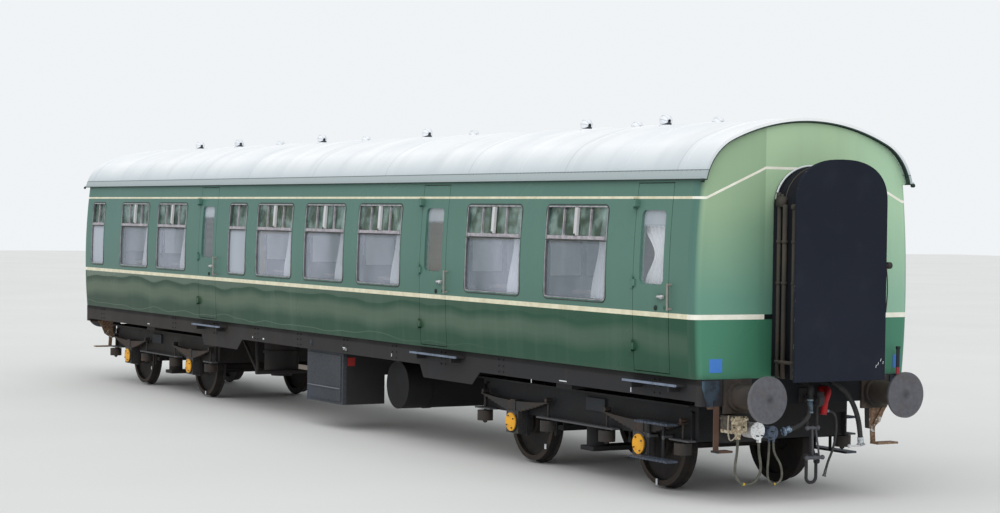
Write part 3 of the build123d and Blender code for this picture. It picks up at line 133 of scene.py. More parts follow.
class Finish:
    """One material: a Principled shader fed from Object coordinates. base is its colour so far."""

    def __init__(self, name):
        self.material = bpy.data.materials.new(name)
        self.material.use_nodes = True
        self.tree = self.material.node_tree
        self.shader = self.tree.nodes["Principled BSDF"]
        self.place = self.tree.nodes.new("ShaderNodeTexCoord").outputs["Object"]
        self.x, self.y, self.z = self.node("ShaderNodeSeparateXYZ", {0: self.place}).outputs
        finishes[name] = self.material

    def put(self, socket, value):
        if isinstance(value, bpy.types.NodeSocket):
            self.tree.links.new(value, socket)
        else:
            socket.default_value = value

    def node(self, kind, inputs, **settings):
        node = self.tree.nodes.new(kind)
        for name, value in settings.items():
            setattr(node, name, value)
        for name, value in inputs.items():
            self.put(node.inputs[name], value)
        return node

    def calc(self, operation, first, second=0.0):
        return self.node("ShaderNodeMath", {0: first, 1: second}, operation=operation).outputs[0]

    def away(self, value):
        return self.calc("ABSOLUTE", value)

    def both(self, share, *others):
        for other in others:
            share = self.calc("MULTIPLY", share, other)
        return share

    def ramp(self, value, low, high, start=0.0, end=1.0):
        inputs = {"Value": value, "From Min": low, "From Max": high, "To Min": start, "To Max": end}
        return self.node("ShaderNodeMapRange", inputs).outputs["Result"]

    def band(self, value, middle, width):
        return self.calc("LESS_THAN", self.away(self.calc("SUBTRACT", value, middle)), width / 2)

    def zone(self, **ranges):
        """1 within low and high of each axis, else 0. off_x and off_y are distances from the middle."""
        shares = []
        for axis, (low, high) in ranges.items():
            value = getattr(self, axis[-1])
            if axis.startswith("off"):
                value = self.away(value)
            if low is None:
                shares.append(self.calc("LESS_THAN", value, high))
            elif high is None:
                shares.append(self.calc("GREATER_THAN", value, low))
            else:
                shares.append(self.band(value, (low + high) / 2, high - low))
        return self.both(*shares)

    def noise(self, scale, detail=3.0, stretch=(1.0, 1.0, 1.0)):
        mapping = self.node("ShaderNodeMapping", {"Scale": stretch, "Vector": self.place})
        inputs = {"Scale": scale, "Detail": detail, "Vector": mapping.outputs[0]}
        return self.node("ShaderNodeTexNoise", inputs).outputs["Fac"]

    def mix(self, share, first, second):
        """A mix of two tones, each a socket or a screen colour."""
        first, second = [colour(*tone) if isinstance(tone, tuple) else tone for tone in (first, second)]
        return self.node("ShaderNodeMix", {0: share, 6: first, 7: second}, data_type="RGBA").outputs[2]

    def blend(self, value, low, high, first, second):
        return self.mix(self.ramp(value, low, high), first, second)

    def lay(self, share, tone):
        """A tone over the colour so far."""
        self.base = self.mix(share, self.base, tone)

    def bump(self, height, distance, strength=1.0, under=None):
        inputs = {"Distance": distance, "Strength": strength, "Height": height}
        if under is not None:
            inputs["Normal"] = under
        return self.node("ShaderNodeBump", inputs).outputs[0]

    def done(self, roughness, normal=None, metallic=0.0, specular=0.5, sheen=0.0):
        sockets = {"Base Color": self.base, "Roughness": roughness, "Metallic": metallic}
        sockets.update({"Specular IOR Level": specular, "Sheen Weight": sheen})
        if normal is not None:
            sockets["Normal"] = normal
        for name, value in sockets.items():
            self.put(self.shader.inputs[name], value)


# Two-tone green with a waist line and an upper line that climbs over the gangway on the ends
def coach_green(paint, upper, cream, worn_cream):
    """Joins the upper tone to the lower one in paint.base, and adds wear and lines."""
    streaks = paint.noise(1.0, 5.0, (6.0, 6.0, 0.30))
    patches = paint.noise(0.55, 3.0)
    fine = paint.noise(9.0, 4.0)
    paint.base = paint.mix(paint.zone(z=(None, waist_line_z)), upper, paint.base)
    paint.lay(paint.ramp(streaks, 0.50, 0.80, 0.0, 0.10), (128, 150, 136))
    paint.lay(paint.ramp(patches, 0.35, 0.65, 0.0, 0.10), (50, 86, 74))
    dust = paint.ramp(paint.z, body_bottom + 0.06, body_bottom, 0.0, 0.35)
    paint.lay(paint.both(dust, paint.ramp(fine, 0.3, 0.7)), (70, 82, 72))
    high = upper_line_z + upper_line_rise
    line_z = paint.ramp(paint.away(paint.y), end_middle_half, 1.25, high, upper_line_z)
    upper_line = paint.band(paint.calc("SUBTRACT", paint.z, line_z), 0.0, upper_line_width)
    waist_line = paint.band(paint.z, waist_line_z, waist_line_width)
    cream_part = paint.both(waist_line, paint.zone(off_y=(black_line_half, None)))
    lines = paint.calc("MAXIMUM", upper_line, cream_part)
    paint.lay(lines, paint.blend(fine, 0.35, 0.7, cream, worn_cream))
    paint.lay(paint.both(waist_line, paint.zone(off_y=(None, black_line_half))), (28, 34, 34))
    ripple = paint.bump(paint.noise(0.9, 1.0, (1.0, 1.0, 1.6)), 0.02, 0.30)
    grain = paint.bump(fine, 0.0005, 0.4, ripple)
    paint.done(paint.ramp(patches, 0.3, 0.7, 0.24, 0.36), grain, specular=0.16)


def side_green():
    """Lower side: deep green with an olive wavy band of painted reflection of the ground, a pale wavy band of
    painted reflection under the waist line, and a faint low line of it.
    """
    paint = Finish("side_green")
    toward_far = paint.ramp(paint.x, 7.6, -8.0)
    sway = paint.both(paint.calc("SUBTRACT", paint.noise(0.85, 1.0, (1.0, 0.0, 0.0)), 0.5), 0.26)
    level = paint.calc("ADD", paint.z, sway)
    # Painted reflection of the ground: an olive wavy band low on the side, at half strength at the near end.
    edges = paint.both(paint.ramp(level, 1.735, 1.645), paint.ramp(level, 1.425, 1.555))
    reflection_band = paint.both(edges, paint.ramp(paint.x, 8.6, 5.0, 0.50, 1.0))
    paint.base = paint.mix(toward_far, (39, 81, 61), (6, 54, 32))
    paint.lay(reflection_band, paint.mix(toward_far, (80, 104, 87), (78, 97, 75)))
    # Painted reflection: a pale wavy band under the waist line with a bright line along its lower edge,
    # towards the far end.
    paint.lay(paint.both(paint.ramp(level, 1.768, 1.786), toward_far), (98, 116, 102))
    paint.lay(paint.both(paint.band(level, 1.772, 0.010), toward_far, 0.45), (128, 146, 124))
    # Painted reflection: a faint wavy line low on the side, away from the near end.
    ripple = paint.calc("ADD", paint.z, paint.both(sway, -0.9))
    low_reflection_line = paint.both(paint.band(ripple, 1.325, 0.012), paint.ramp(paint.x, 5.5, 1.0))
    paint.lay(paint.both(low_reflection_line, 0.30), (120, 140, 118))
    upper = paint.blend(paint.x, 8.7, -8.0, (95, 131, 119), (84, 123, 114))
    upper = paint.mix(paint.ramp(paint.z, 2.40, 1.95, 0.0, 0.35), upper, (74, 110, 98))
    coach_green(paint, upper, (238, 232, 206), (220, 212, 182))


def end_green():
    """A lit copy of the side's paint: the end is painted lighter than the sides as painted light, its centre
    lighter than its left and its right lighter still, with painted shade at the corners and low down beside
    the gangway.
    """
    paint = Finish("end_green")
    # Painted shade: darker towards the gangway, and the corners given the side's darker tone.
    inner = paint.ramp(paint.away(paint.y), 1.15, 0.50)
    corner_shade = paint.ramp(paint.away(paint.x), 8.722, 8.690)
    # Painted light on the centre panel, lighter than the left. The upper tone is also lighter towards the
    # top.
    centre = paint.both(paint.zone(y=(-end_middle_half, None)), 0.85)
    upper = paint.mix(centre, (162, 190, 155), (186, 216, 177))
    upper = paint.blend(paint.z, 2.05, 2.98, (112, 158, 140), upper)
    # Painted shade beside the gangway, and painted light on the right of the end.
    upper = paint.mix(paint.both(inner, paint.ramp(paint.z, 3.35, 2.75, 0.0, 0.50)), upper, (88, 132, 114))
    upper = paint.mix(paint.ramp(paint.y, 0.3, 1.0, 0.0, 0.45), upper, (190, 230, 200))
    upper = paint.mix(corner_shade, upper, (90, 127, 116))
    # Painted shade on the lower tone, beside the gangway and at the corners.
    paint.base = paint.mix(inner, (80, 138, 113), (64, 120, 94))
    paint.lay(corner_shade, (52, 88, 71))
    # The end's cream is painted brighter than the side's cream: painted light.
    coach_green(paint, upper, (252, 250, 238), (240, 236, 220))


# The roof's outline in two arcs each side, for the finish and for what sits on the roof
roof_rise = 0.650
roof_drop = roof_rise * (1 - 0.673)
shoulder_y = 0.990
eave_y = 1.335
crown_radius = (shoulder_y ** 2 + roof_drop ** 2) / (2 * roof_drop)
crown_turn = math.asin(shoulder_y / crown_radius)
crown_middle_z = eaves + roof_rise - crown_radius
shoulder_z = eaves + roof_rise - roof_drop
shoulder_normal = Vector((-math.sin(crown_turn), -math.cos(crown_turn)))
shoulder_chord = Vector((eave_y - shoulder_y, eaves - shoulder_z))
shoulder_radius = shoulder_chord.length_squared / (2 * shoulder_chord.dot(shoulder_normal))
shoulder_middle = Vector((shoulder_y, shoulder_z)) + shoulder_normal * shoulder_radius


def distance(paint, y, z):
    return paint.calc("SQRT", paint.calc("ADD", paint.both(y, y), paint.both(z, z)))


def roof_inset(roof):
    """How far a place is inside the roof's outer face."""
    across = roof.away(roof.y)
    outer = roof.calc("GREATER_THAN", across, shoulder_y)
    shares = []
    for radius, middle_y, middle_z, here in (
        (crown_radius, 0.0, crown_middle_z, roof.calc("SUBTRACT", 1.0, outer)),
        (shoulder_radius, shoulder_middle.x, shoulder_middle.y, outer),
    ):
        off_y = roof.calc("SUBTRACT", across, middle_y)
        length = distance(roof, off_y, roof.calc("SUBTRACT", roof.z, middle_z))
        shares.append(roof.both(roof.calc("SUBTRACT", radius, length), here))
    return roof.calc("ADD", *shares)


def weathered_roof():
    roof = Finish("weathered_roof")
    run_off = roof.noise(1.0, 6.0, (2.6, 0.5, 0.5))
    clouds = roof.noise(1.2, 5.0)
    roof.base = roof.blend(clouds, 0.35, 0.65, (253, 254, 255), (240, 243, 246))
    streak = roof.both(roof.ramp(run_off, 0.50, 0.72), roof.ramp(roof.z, 3.86, 3.5, 0.15, 0.55))
    roof.lay(streak, (214, 218, 222))
    # Painted shade: the roof darker towards the eaves, where it curves down.
    roof.lay(roof.ramp(roof.z, eaves + 0.38, eaves + 0.08, 0.0, 0.85), (182, 195, 201))
    seam_place = roof.calc("PINGPONG", roof.calc("ADD", roof.x, 40.0), 1.05)
    seam = roof.calc("LESS_THAN", seam_place, 0.011)
    roof.lay(roof.both(seam, 0.22), (150, 154, 158))
    roof.lay(roof.band(roof.z, eaves + 0.100, 0.010), (122, 130, 132))
    roof.lay(roof.zone(z=(None, eaves + 0.095)), (174, 185, 187))
    # Painted shadow under the roof's edge at both ends.
    at_end = roof.zone(off_x=(body_end - 0.02, None))
    roof.lay(roof.both(at_end, roof.calc("GREATER_THAN", roof_inset(roof), 0.029)), (56, 72, 68))
    # Painted shadow: a dark line along the bottom of the roof's edge.
    roof.lay(roof.zone(z=(None, eaves + 0.012)), (44, 58, 54))
    normal = roof.bump(roof.noise(24.0, 3.0), 0.001, 0.4, roof.bump(seam, 0.004, 0.5))
    roof.done(roof.ramp(clouds, 0.3, 0.7, 0.5, 0.75), normal, specular=0.25)


def dusty_paint(name, clean, dust, rust=None, share=0.5, roughness=(0.55, 0.8)):
    paint = Finish(name)
    coarse = paint.noise(2.2, 6.0)
    grains = paint.noise(38.0, 4.0)
    paint.base = paint.mix(paint.ramp(coarse, 0.35, 0.7, 0.0, share), clean, dust)
    paint.lay(paint.ramp(grains, 0.5, 0.75, 0.0, 0.30), dust)
    if rust is not None:
        spots = paint.ramp(paint.noise(5.0, 6.0), 0.56, 0.72, 0.0, 0.6)
        paint.lay(paint.both(spots, paint.ramp(grains, 0.3, 0.6)), rust)
    paint.done(paint.ramp(coarse, 0.3, 0.7, *roughness), paint.bump(grains, 0.0012, 0.6), specular=0.25)


def underframe_black():
    """Grey-black, browner to the far end, with painted shade along the top of the solebars, worn step edges,
    rusty end steps and the box's own lines.
    """
    paint = Finish("underframe_black")
    coarse = paint.noise(1.6, 6.0)
    grains = paint.noise(34.0, 4.0)
    clean = paint.blend(paint.x, 5.0, -6.0, (42, 43, 47), (56, 52, 50))
    paint.base = paint.mix(paint.ramp(coarse, 0.35, 0.7, 0.0, 0.6), clean, (62, 59, 57))
    runs = paint.ramp(paint.noise(1.0, 5.0, (9.0, 9.0, 0.6)), 0.58, 0.74)
    paint.lay(paint.both(runs, paint.ramp(grains, 0.3, 0.7), 0.30), (86, 70, 58))
    # Painted shade along the top of the solebars, under the body's edge.
    shade_under_body = paint.both(paint.ramp(paint.z, 1.185, 1.205), paint.zone(off_y=(1.27, None)))
    paint.lay(paint.both(shade_under_body, 0.7), (24, 23, 24))
    paint.lay(paint.both(paint.zone(x=(1.20, 2.40), z=(None, 0.97)), 0.7), (26, 26, 29))
    step_edge = paint.zone(off_y=(1.425, None), z=(1.164, 1.194))
    wear = paint.ramp(paint.noise(7.0, 2.0), 0.30, 0.50, 0.6, 1.0)
    paint.lay(paint.both(step_edge, wear, 0.85), (132, 144, 164))
    on_box = paint.zone(y=(None, -1.20), x=(-0.3025, 0.7975), z=(None, 1.02))
    on_box = paint.both(on_box, paint.zone(y=(-1.28, None)))
    paint.lay(on_box, paint.blend(grains, 0.4, 0.6, (62, 65, 71), (72, 75, 79)))
    paint.lay(paint.both(on_box, paint.zone(y=(None, -1.266))), (116, 118, 126))
    low_patch = paint.both(paint.ramp(paint.z, 0.62, 0.46), paint.ramp(paint.x, 0.2, -0.2))
    paint.lay(paint.both(on_box, low_patch, 0.45), (64, 72, 90))
    paint.lay(paint.zone(x=(-0.59, -0.29), z=(0.723, 0.793), y=(None, -1.19)), (118, 110, 102))
    head = paint.zone(off_x=(8.64, None), off_y=(None, 1.05), z=(0.93, None))
    paint.lay(paint.both(head, 0.8), (24, 27, 32))
    rusty = paint.blend(coarse, 0.38, 0.62, (86, 66, 56), (114, 90, 76))
    tan = paint.blend(grains, 0.35, 0.6, (164, 136, 112), (118, 94, 76))
    splash = paint.both(paint.ramp(paint.noise(26.0, 4.0), 0.54, 0.60), paint.zone(z=(0.66, 0.82)))
    tan = paint.mix(splash, tan, (206, 206, 202))
    right_hand = paint.calc("GREATER_THAN", paint.both(paint.x, paint.y), 0.0)
    end_step = paint.zone(off_x=(8.70, None), z=(None, 0.99), off_y=(0.85, 1.17))
    paint.lay(end_step, paint.mix(right_hand, rusty, tan))
    paint.done(paint.ramp(coarse, 0.3, 0.7, 0.55, 0.8), paint.bump(grains, 0.001, 0.5), specular=0.2)


def bogie_black():
    """Dusty black with lighter bearer plates and worn footboards."""
    paint = Finish("bogie_black")
    coarse = paint.noise(2.2, 6.0)
    grains = paint.noise(38.0, 4.0)
    clean = paint.blend(paint.x, 4.0, -5.0, (36, 38, 42), (46, 43, 42))
    paint.base = paint.mix(paint.ramp(coarse, 0.35, 0.7, 0.0, 0.6), clean, (54, 52, 50))
    paint.lay(paint.both(paint.ramp(grains, 0.5, 0.7), 0.25), (70, 60, 52))
    paint.lay(paint.zone(off_x=(6.205, 6.577), z=(0.739, 0.879), off_y=(0.958, 0.994)), (55, 58, 62))
    worn = paint.blend(grains, 0.38, 0.58, (92, 102, 118), (60, 64, 72))
    paint.lay(paint.both(paint.zone(off_y=(1.10, None), off_x=(7.405, 8.105)), 0.9), worn)
    paint.lay(paint.both(paint.zone(z=(0.570, 0.610), off_y=(0.99, None)), 0.75), (98, 98, 100))
    paint.done(paint.ramp(coarse, 0.3, 0.7, 0.55, 0.8), paint.bump(grains, 0.0012, 0.6), specular=0.2)


def cover_yellow():
    paint = Finish("axlebox_with_yellow_cover")
    grains = paint.noise(30.0, 4.0)
    paint.base = paint.blend(grains, 0.4, 0.7, (40, 40, 43), (64, 60, 56))
    worn = paint.blend(paint.noise(9.0, 5.0), 0.45, 0.75, (246, 176, 22), (205, 140, 24))
    paint.lay(paint.zone(off_y=(1.0875, None)), worn)
    paint.done(0.5, paint.bump(grains, 0.001, 0.5))


def clear_glass():
    """Clear panes under painted reflection: tones laid over them at part opacity, with smears, duller in the
    top lights. The lower panes of the narrow lavatory windows are frosted.
    """
    glass = Finish("window_glass")
    smear = glass.noise(1.3, 4.0, (1.0, 1.0, 0.5))
    lower = glass.zone(z=(None, transom_z))
    frosted = 0.0
    for x0, x1 in narrow_windows:
        frosted = glass.calc("ADD", glass.zone(x=(x0, x1), z=(None, transom_z)), frosted)
    # Painted reflection: tones over the panes at part opacity, duller in the top lights and paler on the
    # lower panes.
    glass.base = glass.blend(glass.noise(5.0, 5.0), 0.40, 0.62, (66, 98, 86), (160, 190, 182))
    glass.lay(lower, glass.blend(smear, 0.35, 0.65, (160, 172, 182), (214, 222, 238)))
    glass.lay(frosted, glass.blend(smear, 0.3, 0.7, (164, 174, 184), (188, 194, 206)))
    cover = glass.ramp(lower, 0.0, 1.0, 0.42, 0.30)
    glass.put(glass.shader.inputs["Alpha"], glass.calc("MAXIMUM", cover, glass.both(frosted, 0.97)))
    normal = glass.bump(glass.noise(0.8, 1.0), 0.004, 0.2)
    glass.done(glass.ramp(frosted, 0.0, 1.0, 0.05, 0.5), normal, specular=0.6)


def droplight_glass():
    glass = Finish("droplight_glass")
    smear = glass.noise(1.3, 4.0, (1.0, 1.0, 0.5))
    # Painted reflection: a pale tone over the pane at part opacity, more opaque near its top.
    glass.base = glass.blend(smear, 0.35, 0.65, (176, 186, 194), (214, 222, 232))
    glass.put(glass.shader.inputs["Alpha"], glass.ramp(glass.ramp(glass.z, 2.74, 2.78), 0.0, 1.0, 0.16, 0.55))
    glass.done(0.05, glass.bump(glass.noise(0.8, 1.0), 0.004, 0.2), specular=0.6)


def window_alloy():
    """Window frames: bright metal inside, the outer edge and the sill in the body's green."""
    metal = Finish("window_alloy")
    wear = metal.noise(16.0, 4.0)
    inside = []
    for inset in (0.013, 0.024, 0.046):
        low = window_bottom + inset + 0.008
        columns = 0.0
        for x0, x1 in all_windows:
            columns = metal.calc("ADD", metal.zone(x=(x0 + inset, x1 - inset)), columns)
        inside.append(metal.both(columns, metal.zone(z=(low, window_top - inset))))
    bright = metal.blend(wear, 0.4, 0.7, (190, 184, 190), (146, 142, 148))
    lips = metal.calc("SUBTRACT", inside[1], inside[2])
    bright = metal.mix(metal.both(lips, 0.75), bright, (84, 84, 88))
    metal.base = metal.blend(wear, 0.4, 0.7, (92, 122, 112), (72, 98, 90))
    metal.lay(inside[0], bright)
    metal.done(metal.ramp(wear, 0.3, 0.7, 0.35, 0.5), metal.bump(wear, 0.0006, 0.4), metallic=0.3)


def plate_black():
    plate = Finish("gangway_plate_black")
    plate.base = plate.blend(plate.noise(0.9, 4.0), 0.3, 0.7, (29, 33, 43), (34, 38, 49))
    plate.lay(plate.both(plate.ramp(plate.noise(3.0, 5.0), 0.55, 0.75), 0.25), (50, 54, 64))
    worn = plate.calc("GREATER_THAN", plate.noise(18.0, 3.0), 0.63)
    plate.lay(plate.both(plate.zone(off_x=(None, 9.293)), worn, 0.35), (130, 130, 132))
    plate.done(0.75, plate.bump(plate.noise(60.0, 3.0), 0.0008, 0.5), specular=0.12)


def cloth(name, first, second, scale):
    fabric = Finish(name)
    threads = fabric.noise(scale, 2.0)
    fabric.base = fabric.blend(threads, 0.35, 0.65, first, second)
    fabric.lay(fabric.ramp(fabric.noise(3.0, 4.0), 0.4, 0.8, 0.0, 0.3), second)
    fabric.done(0.9, fabric.bump(threads, 0.001, 0.5), specular=0.2, sheen=0.3)


def rubber(name, dark, dusty):
    hose = Finish(name)
    dust = hose.noise(12.0, 5.0)
    hose.base = hose.blend(dust, 0.45, 0.75, dark, dusty)
    hose.done(hose.ramp(dust, 0.3, 0.7, 0.45, 0.7), hose.bump(hose.noise(70.0, 3.0), 0.0006, 0.5))


def fittings_paint():
    """Beige box, white dummy, grey-blue cover, dark pipes and a red cock, told apart by where they are."""
    paint = Finish("end_fittings_paint")
    grime = paint.noise(14.0, 6.0)
    blotches = paint.ramp(paint.noise(46.0, 4.0), 0.54, 0.62)
    low_front = paint.zone(z=(None, 0.97), x=(8.735, None))
    blue, white, beige = [paint.both(low_front, paint.zone(y=(None, y))) for y in (-0.40, -0.618, -0.83)]
    paint.base = paint.blend(grime, 0.4, 0.7, (38, 39, 42), (58, 56, 54))
    paint.lay(blue, paint.mix(blotches, (82, 92, 110), (56, 62, 74)))
    paint.lay(white, paint.mix(paint.both(blotches, 0.5), (246, 247, 248), (140, 138, 136)))
    paint.lay(paint.both(white, paint.zone(x=(None, 8.915)), 0.45), (140, 138, 136))
    paint.lay(beige, paint.mix(blotches, (158, 142, 118), (92, 78, 66)))
    paint.lay(paint.both(beige, paint.ramp(paint.noise(30.0, 4.0), 0.46, 0.58)), (206, 194, 168))
    paint.lay(paint.both(beige, paint.zone(x=(None, 8.912), z=(0.76, None)), 0.85), (48, 44, 42))
    red = paint.blend(grime, 0.45, 0.7, (176, 28, 34), (112, 24, 26))
    paint.lay(paint.zone(y=(0.080, 0.230), x=(8.765, None)), red)
    paint.done(0.55, paint.bump(grime, 0.001, 0.5), specular=0.3)


def hose_head_metal():
    """Steel-blue vacuum head, bright steam head, dark ones on the rest."""
    metal = Finish("hose_head_metal")
    wear = metal.noise(30.0, 4.0)
    metal.base = metal.blend(wear, 0.4, 0.6, (96, 96, 98), (62, 60, 60))
    metal.lay(metal.zone(y=(None, -0.15)), metal.blend(wear, 0.45, 0.55, (140, 160, 180), (58, 74, 92)))
    metal.lay(metal.zone(y=(0.45, None)), metal.blend(wear, 0.45, 0.6, (206, 212, 216), (108, 112, 116)))
    metal.done(metal.ramp(wear, 0.3, 0.7, 0.3, 0.55), metal.bump(wear, 0.001, 0.5), metallic=0.35)


def bracket_blue():
    """Corner brackets in dull blue-black, and the lamp bracket with its red foot."""
    paint = Finish("corner_bracket_blue")
    grime = paint.noise(11.0, 6.0)
    blue = paint.blend(grime, 0.42, 0.6, (56, 68, 80), (44, 46, 52))
    blue = paint.mix(paint.ramp(paint.away(paint.y), 1.262, 1.290, 0.0, 0.6), blue, (84, 108, 124))
    paint.base = paint.blend(grime, 0.38, 0.66, (74, 62, 56), (104, 82, 66))
    paint.lay(paint.zone(z=(0.985, None)), blue)
    paint.lay(paint.zone(z=(1.28, None)), (50, 50, 56))
    paint.lay(paint.band(paint.z, 1.290, 0.07), (160, 56, 66))
    paint.done(0.75, paint.bump(grime, 0.0015, 0.6), specular=0.2)


def buffer_steel():
    """Buffer heads: faint rings of brushed wear, darker in the middle, with a lighter rim."""
    steel = Finish("buffer_head_steel")
    rusty = steel.noise(9.0, 5.0)
    scuffs = steel.noise(26.0, 5.0)
    across = steel.calc("SUBTRACT", steel.away(steel.y), buffer_y)
    out = distance(steel, across, steel.calc("SUBTRACT", steel.z, buffer_z))
    rings = steel.calc("SINE", steel.both(out, 420.0))
    steel.base = steel.blend(scuffs, 0.35, 0.65, (87, 88, 95), (99, 99, 104))
    steel.lay(steel.ramp(rings, -1.0, 1.0, 0.0, 0.16), (110, 110, 116))
    worn = steel.both(steel.ramp(out, 0.065, 0.015), steel.ramp(scuffs, 0.35, 0.6, 0.4, 0.9))
    steel.lay(worn, (57, 57, 62))
    steel.lay(steel.ramp(out, 0.222, 0.234, 0.0, 0.5), (112, 112, 114))
    steel.lay(steel.ramp(rusty, 0.52, 0.75, 0.0, 0.45), (92, 80, 74))
    rough = steel.ramp(rusty, 0.3, 0.7, 0.45, 0.65)
    steel.done(rough, steel.bump(rings, 0.0003, 0.4), metallic=0.2, specular=0.3)


def panel_cream():
    """Inside panels: cream about the middle doors, paler at the far ones, grey by the near ones."""
    panel = Finish("vestibule_cream")
    grain = panel.noise(2.0, 5.0, (1.0, 1.0, 8.0))
    share = panel.ramp(grain, 0.35, 0.7)
    panel.base = panel.mix(share, (236, 212, 130), (222, 194, 112))
    panel.lay(panel.ramp(panel.x, 6.2, 7.0), panel.mix(share, (196, 198, 206), (170, 172, 182)))
    panel.lay(panel.ramp(panel.x, -2.4, -3.0), panel.mix(share, (236, 238, 240), (214, 216, 218)))
    panel.done(0.5, panel.bump(grain, 0.0005, 0.4))


def wheel_steel():
    steel = Finish("wheel_steel")
    grime = steel.noise(11.0, 6.0)
    steel.base = steel.blend(grime, 0.35, 0.7, (34, 33, 34), (56, 50, 46))
    steel.lay(steel.both(steel.zone(off_y=(0.812, None)), 0.30), (84, 72, 62))
    steel.done(steel.ramp(grime, 0.3, 0.7, 0.6, 0.8), steel.bump(grime, 0.0015, 0.6), specular=0.2)


for make_finish in (
    side_green,
    end_green,
    weathered_roof,
    underframe_black,
    bogie_black,
    buffer_steel,
    panel_cream,
    clear_glass,
    droplight_glass,
    window_alloy,
    plate_black,
    cover_yellow,
    wheel_steel,
    fittings_paint,
    hose_head_metal,
    bracket_blue,
):
    make_finish()

# Columns: finish, clean colour, dust, rust, share of dust, roughness
for row in (
    ("spring_brown", (52, 50, 50), (80, 70, 62), (96, 70, 52), 0.6),
    ("rusty_bars", (66, 63, 58), (86, 80, 72), (96, 78, 66), 0.8, (0.7, 0.9)),
    ("buffer_housing_brown", (50, 47, 46), (84, 74, 66), (112, 96, 78), 0.8),
    ("coupling_steel", (46, 47, 52), (70, 64, 60), (84, 66, 54), 0.5),
    ("bellows_fabric", (24, 27, 34), (38, 40, 46), None, 0.4, (0.8, 0.95)),
    ("vent_white", (240, 243, 247), (206, 212, 218), None, 0.4, (0.4, 0.6)),
    ("vent_neck", (66, 72, 78), (96, 100, 104), None, 0.4, (0.6, 0.8)),
    ("handrail_steel", (160, 158, 152), (120, 108, 98), None, 0.5, (0.35, 0.5)),
    ("window_stay_alloy", (222, 222, 224), (176, 172, 174), None, 0.5, (0.3, 0.5)),
    ("chain_steel", (196, 188, 172), (120, 108, 92), None, 0.5, (0.35, 0.6)),
    ("knob_steel", (94, 96, 102), (64, 64, 68), None, 0.6, (0.4, 0.6)),
    ("floor_boards", (92, 76, 60), (112, 98, 84)),
    ("seat_frame_grey", (132, 132, 130), (110, 106, 100), None, 0.3),
    ("table_brown", (112, 100, 92), (92, 84, 78), None, 0.3, (0.35, 0.5)),
    ("tape_yellow", (226, 196, 60), (176, 150, 70)),
    ("hose_sleeve_silver", (150, 164, 178), (92, 102, 112), None, 0.6, (0.3, 0.5)),
    # The vacuum pipe sleeve's light blue-grey is partly its own colour and partly a painted highlight on the
    # pipe.
    ("pipe_sleeve_blue", (70, 86, 98), (104, 124, 134), None, 0.6, (0.3, 0.5)),
    ("tab_red", (176, 52, 50), (126, 54, 50), None, 0.6),
    ("blank_plate_blue", (70, 128, 208), (98, 146, 212), None, 0.5, (0.4, 0.6)),
    ("chalk_white", (226, 230, 234), (188, 192, 196), None, 0.5, (0.7, 0.9)),
    ("lock_dark", (34, 52, 46), (56, 74, 66), None, 0.5, (0.4, 0.6)),
    ("plate_bolts", (52, 56, 66), (84, 86, 92), None, 0.4),
):
    dusty_paint(*row)
rubber("cable_rubber", (34, 34, 36), (62, 60, 58))
rubber("jumper_rubber", (78, 78, 70), (112, 110, 98))
rubber("window_rubber", (40, 44, 44), (72, 78, 76))
cloth("seat_moquette", (74, 80, 106), (56, 62, 86), 160.0)
cloth("headrest_cloth", (252, 253, 255), (222, 232, 246), 60.0)
cloth("curtain_cloth", (252, 252, 253), (232, 234, 240), 120.0)

# Columns: finish, how the names of its nodes start. The first row that fits a node counts.
node_finishes = (
    ("side_green", "body_side"),
    ("droplight_glass", "door_glass"),
    ("side_green", "door_"),
    ("end_green", "body_end"),
    ("vent_white", "roof_vents"),
    ("weathered_roof", "roof"),
    ("floor_boards", "floor"),
    ("underframe_black", "solebars", "headstocks", "cross_members", "underframe_gear", "step_boards"),
    ("window_alloy", "window_frames"),
    ("window_glass", "window_glass"),
    ("bellows_fabric", "gangways"),
    ("buffer_housing_brown", "buffer_housings"),
    ("buffer_head_steel", "buffer_heads"),
    ("coupling_steel", "drawgear"),
    ("corner_bracket_blue", "corner_brackets"),
    ("handrail_steel", "handrails"),
    ("end_fittings_paint", "end_fittings"),
    ("hose_head_metal", "hose_heads"),
    ("vestibule_cream", "partitions"),
    ("seat_moquette", "seat_cushions"),
    ("seat_frame_grey", "seat_frames"),
    ("table_brown", "tables"),
    ("bogie_black", "bogie_frame", "brake_gear"),
    ("spring_brown", "leaf_springs"),
    ("axlebox_with_yellow_cover", "axleboxes"),
    ("wheel_steel", "axle_", "wheels_"),
    ("cable_rubber", "jumper_cable", "vacuum_hose", "air_hose", "steam_hose"),
)


def paint_nodes():
    for name, piece in nodes.items():
        for finish, *starts in node_finishes:
            if name.startswith(tuple(starts)):
                piece.data.materials.clear()
                piece.data.materials.append(finishes[finish])
                break


paint_nodes()


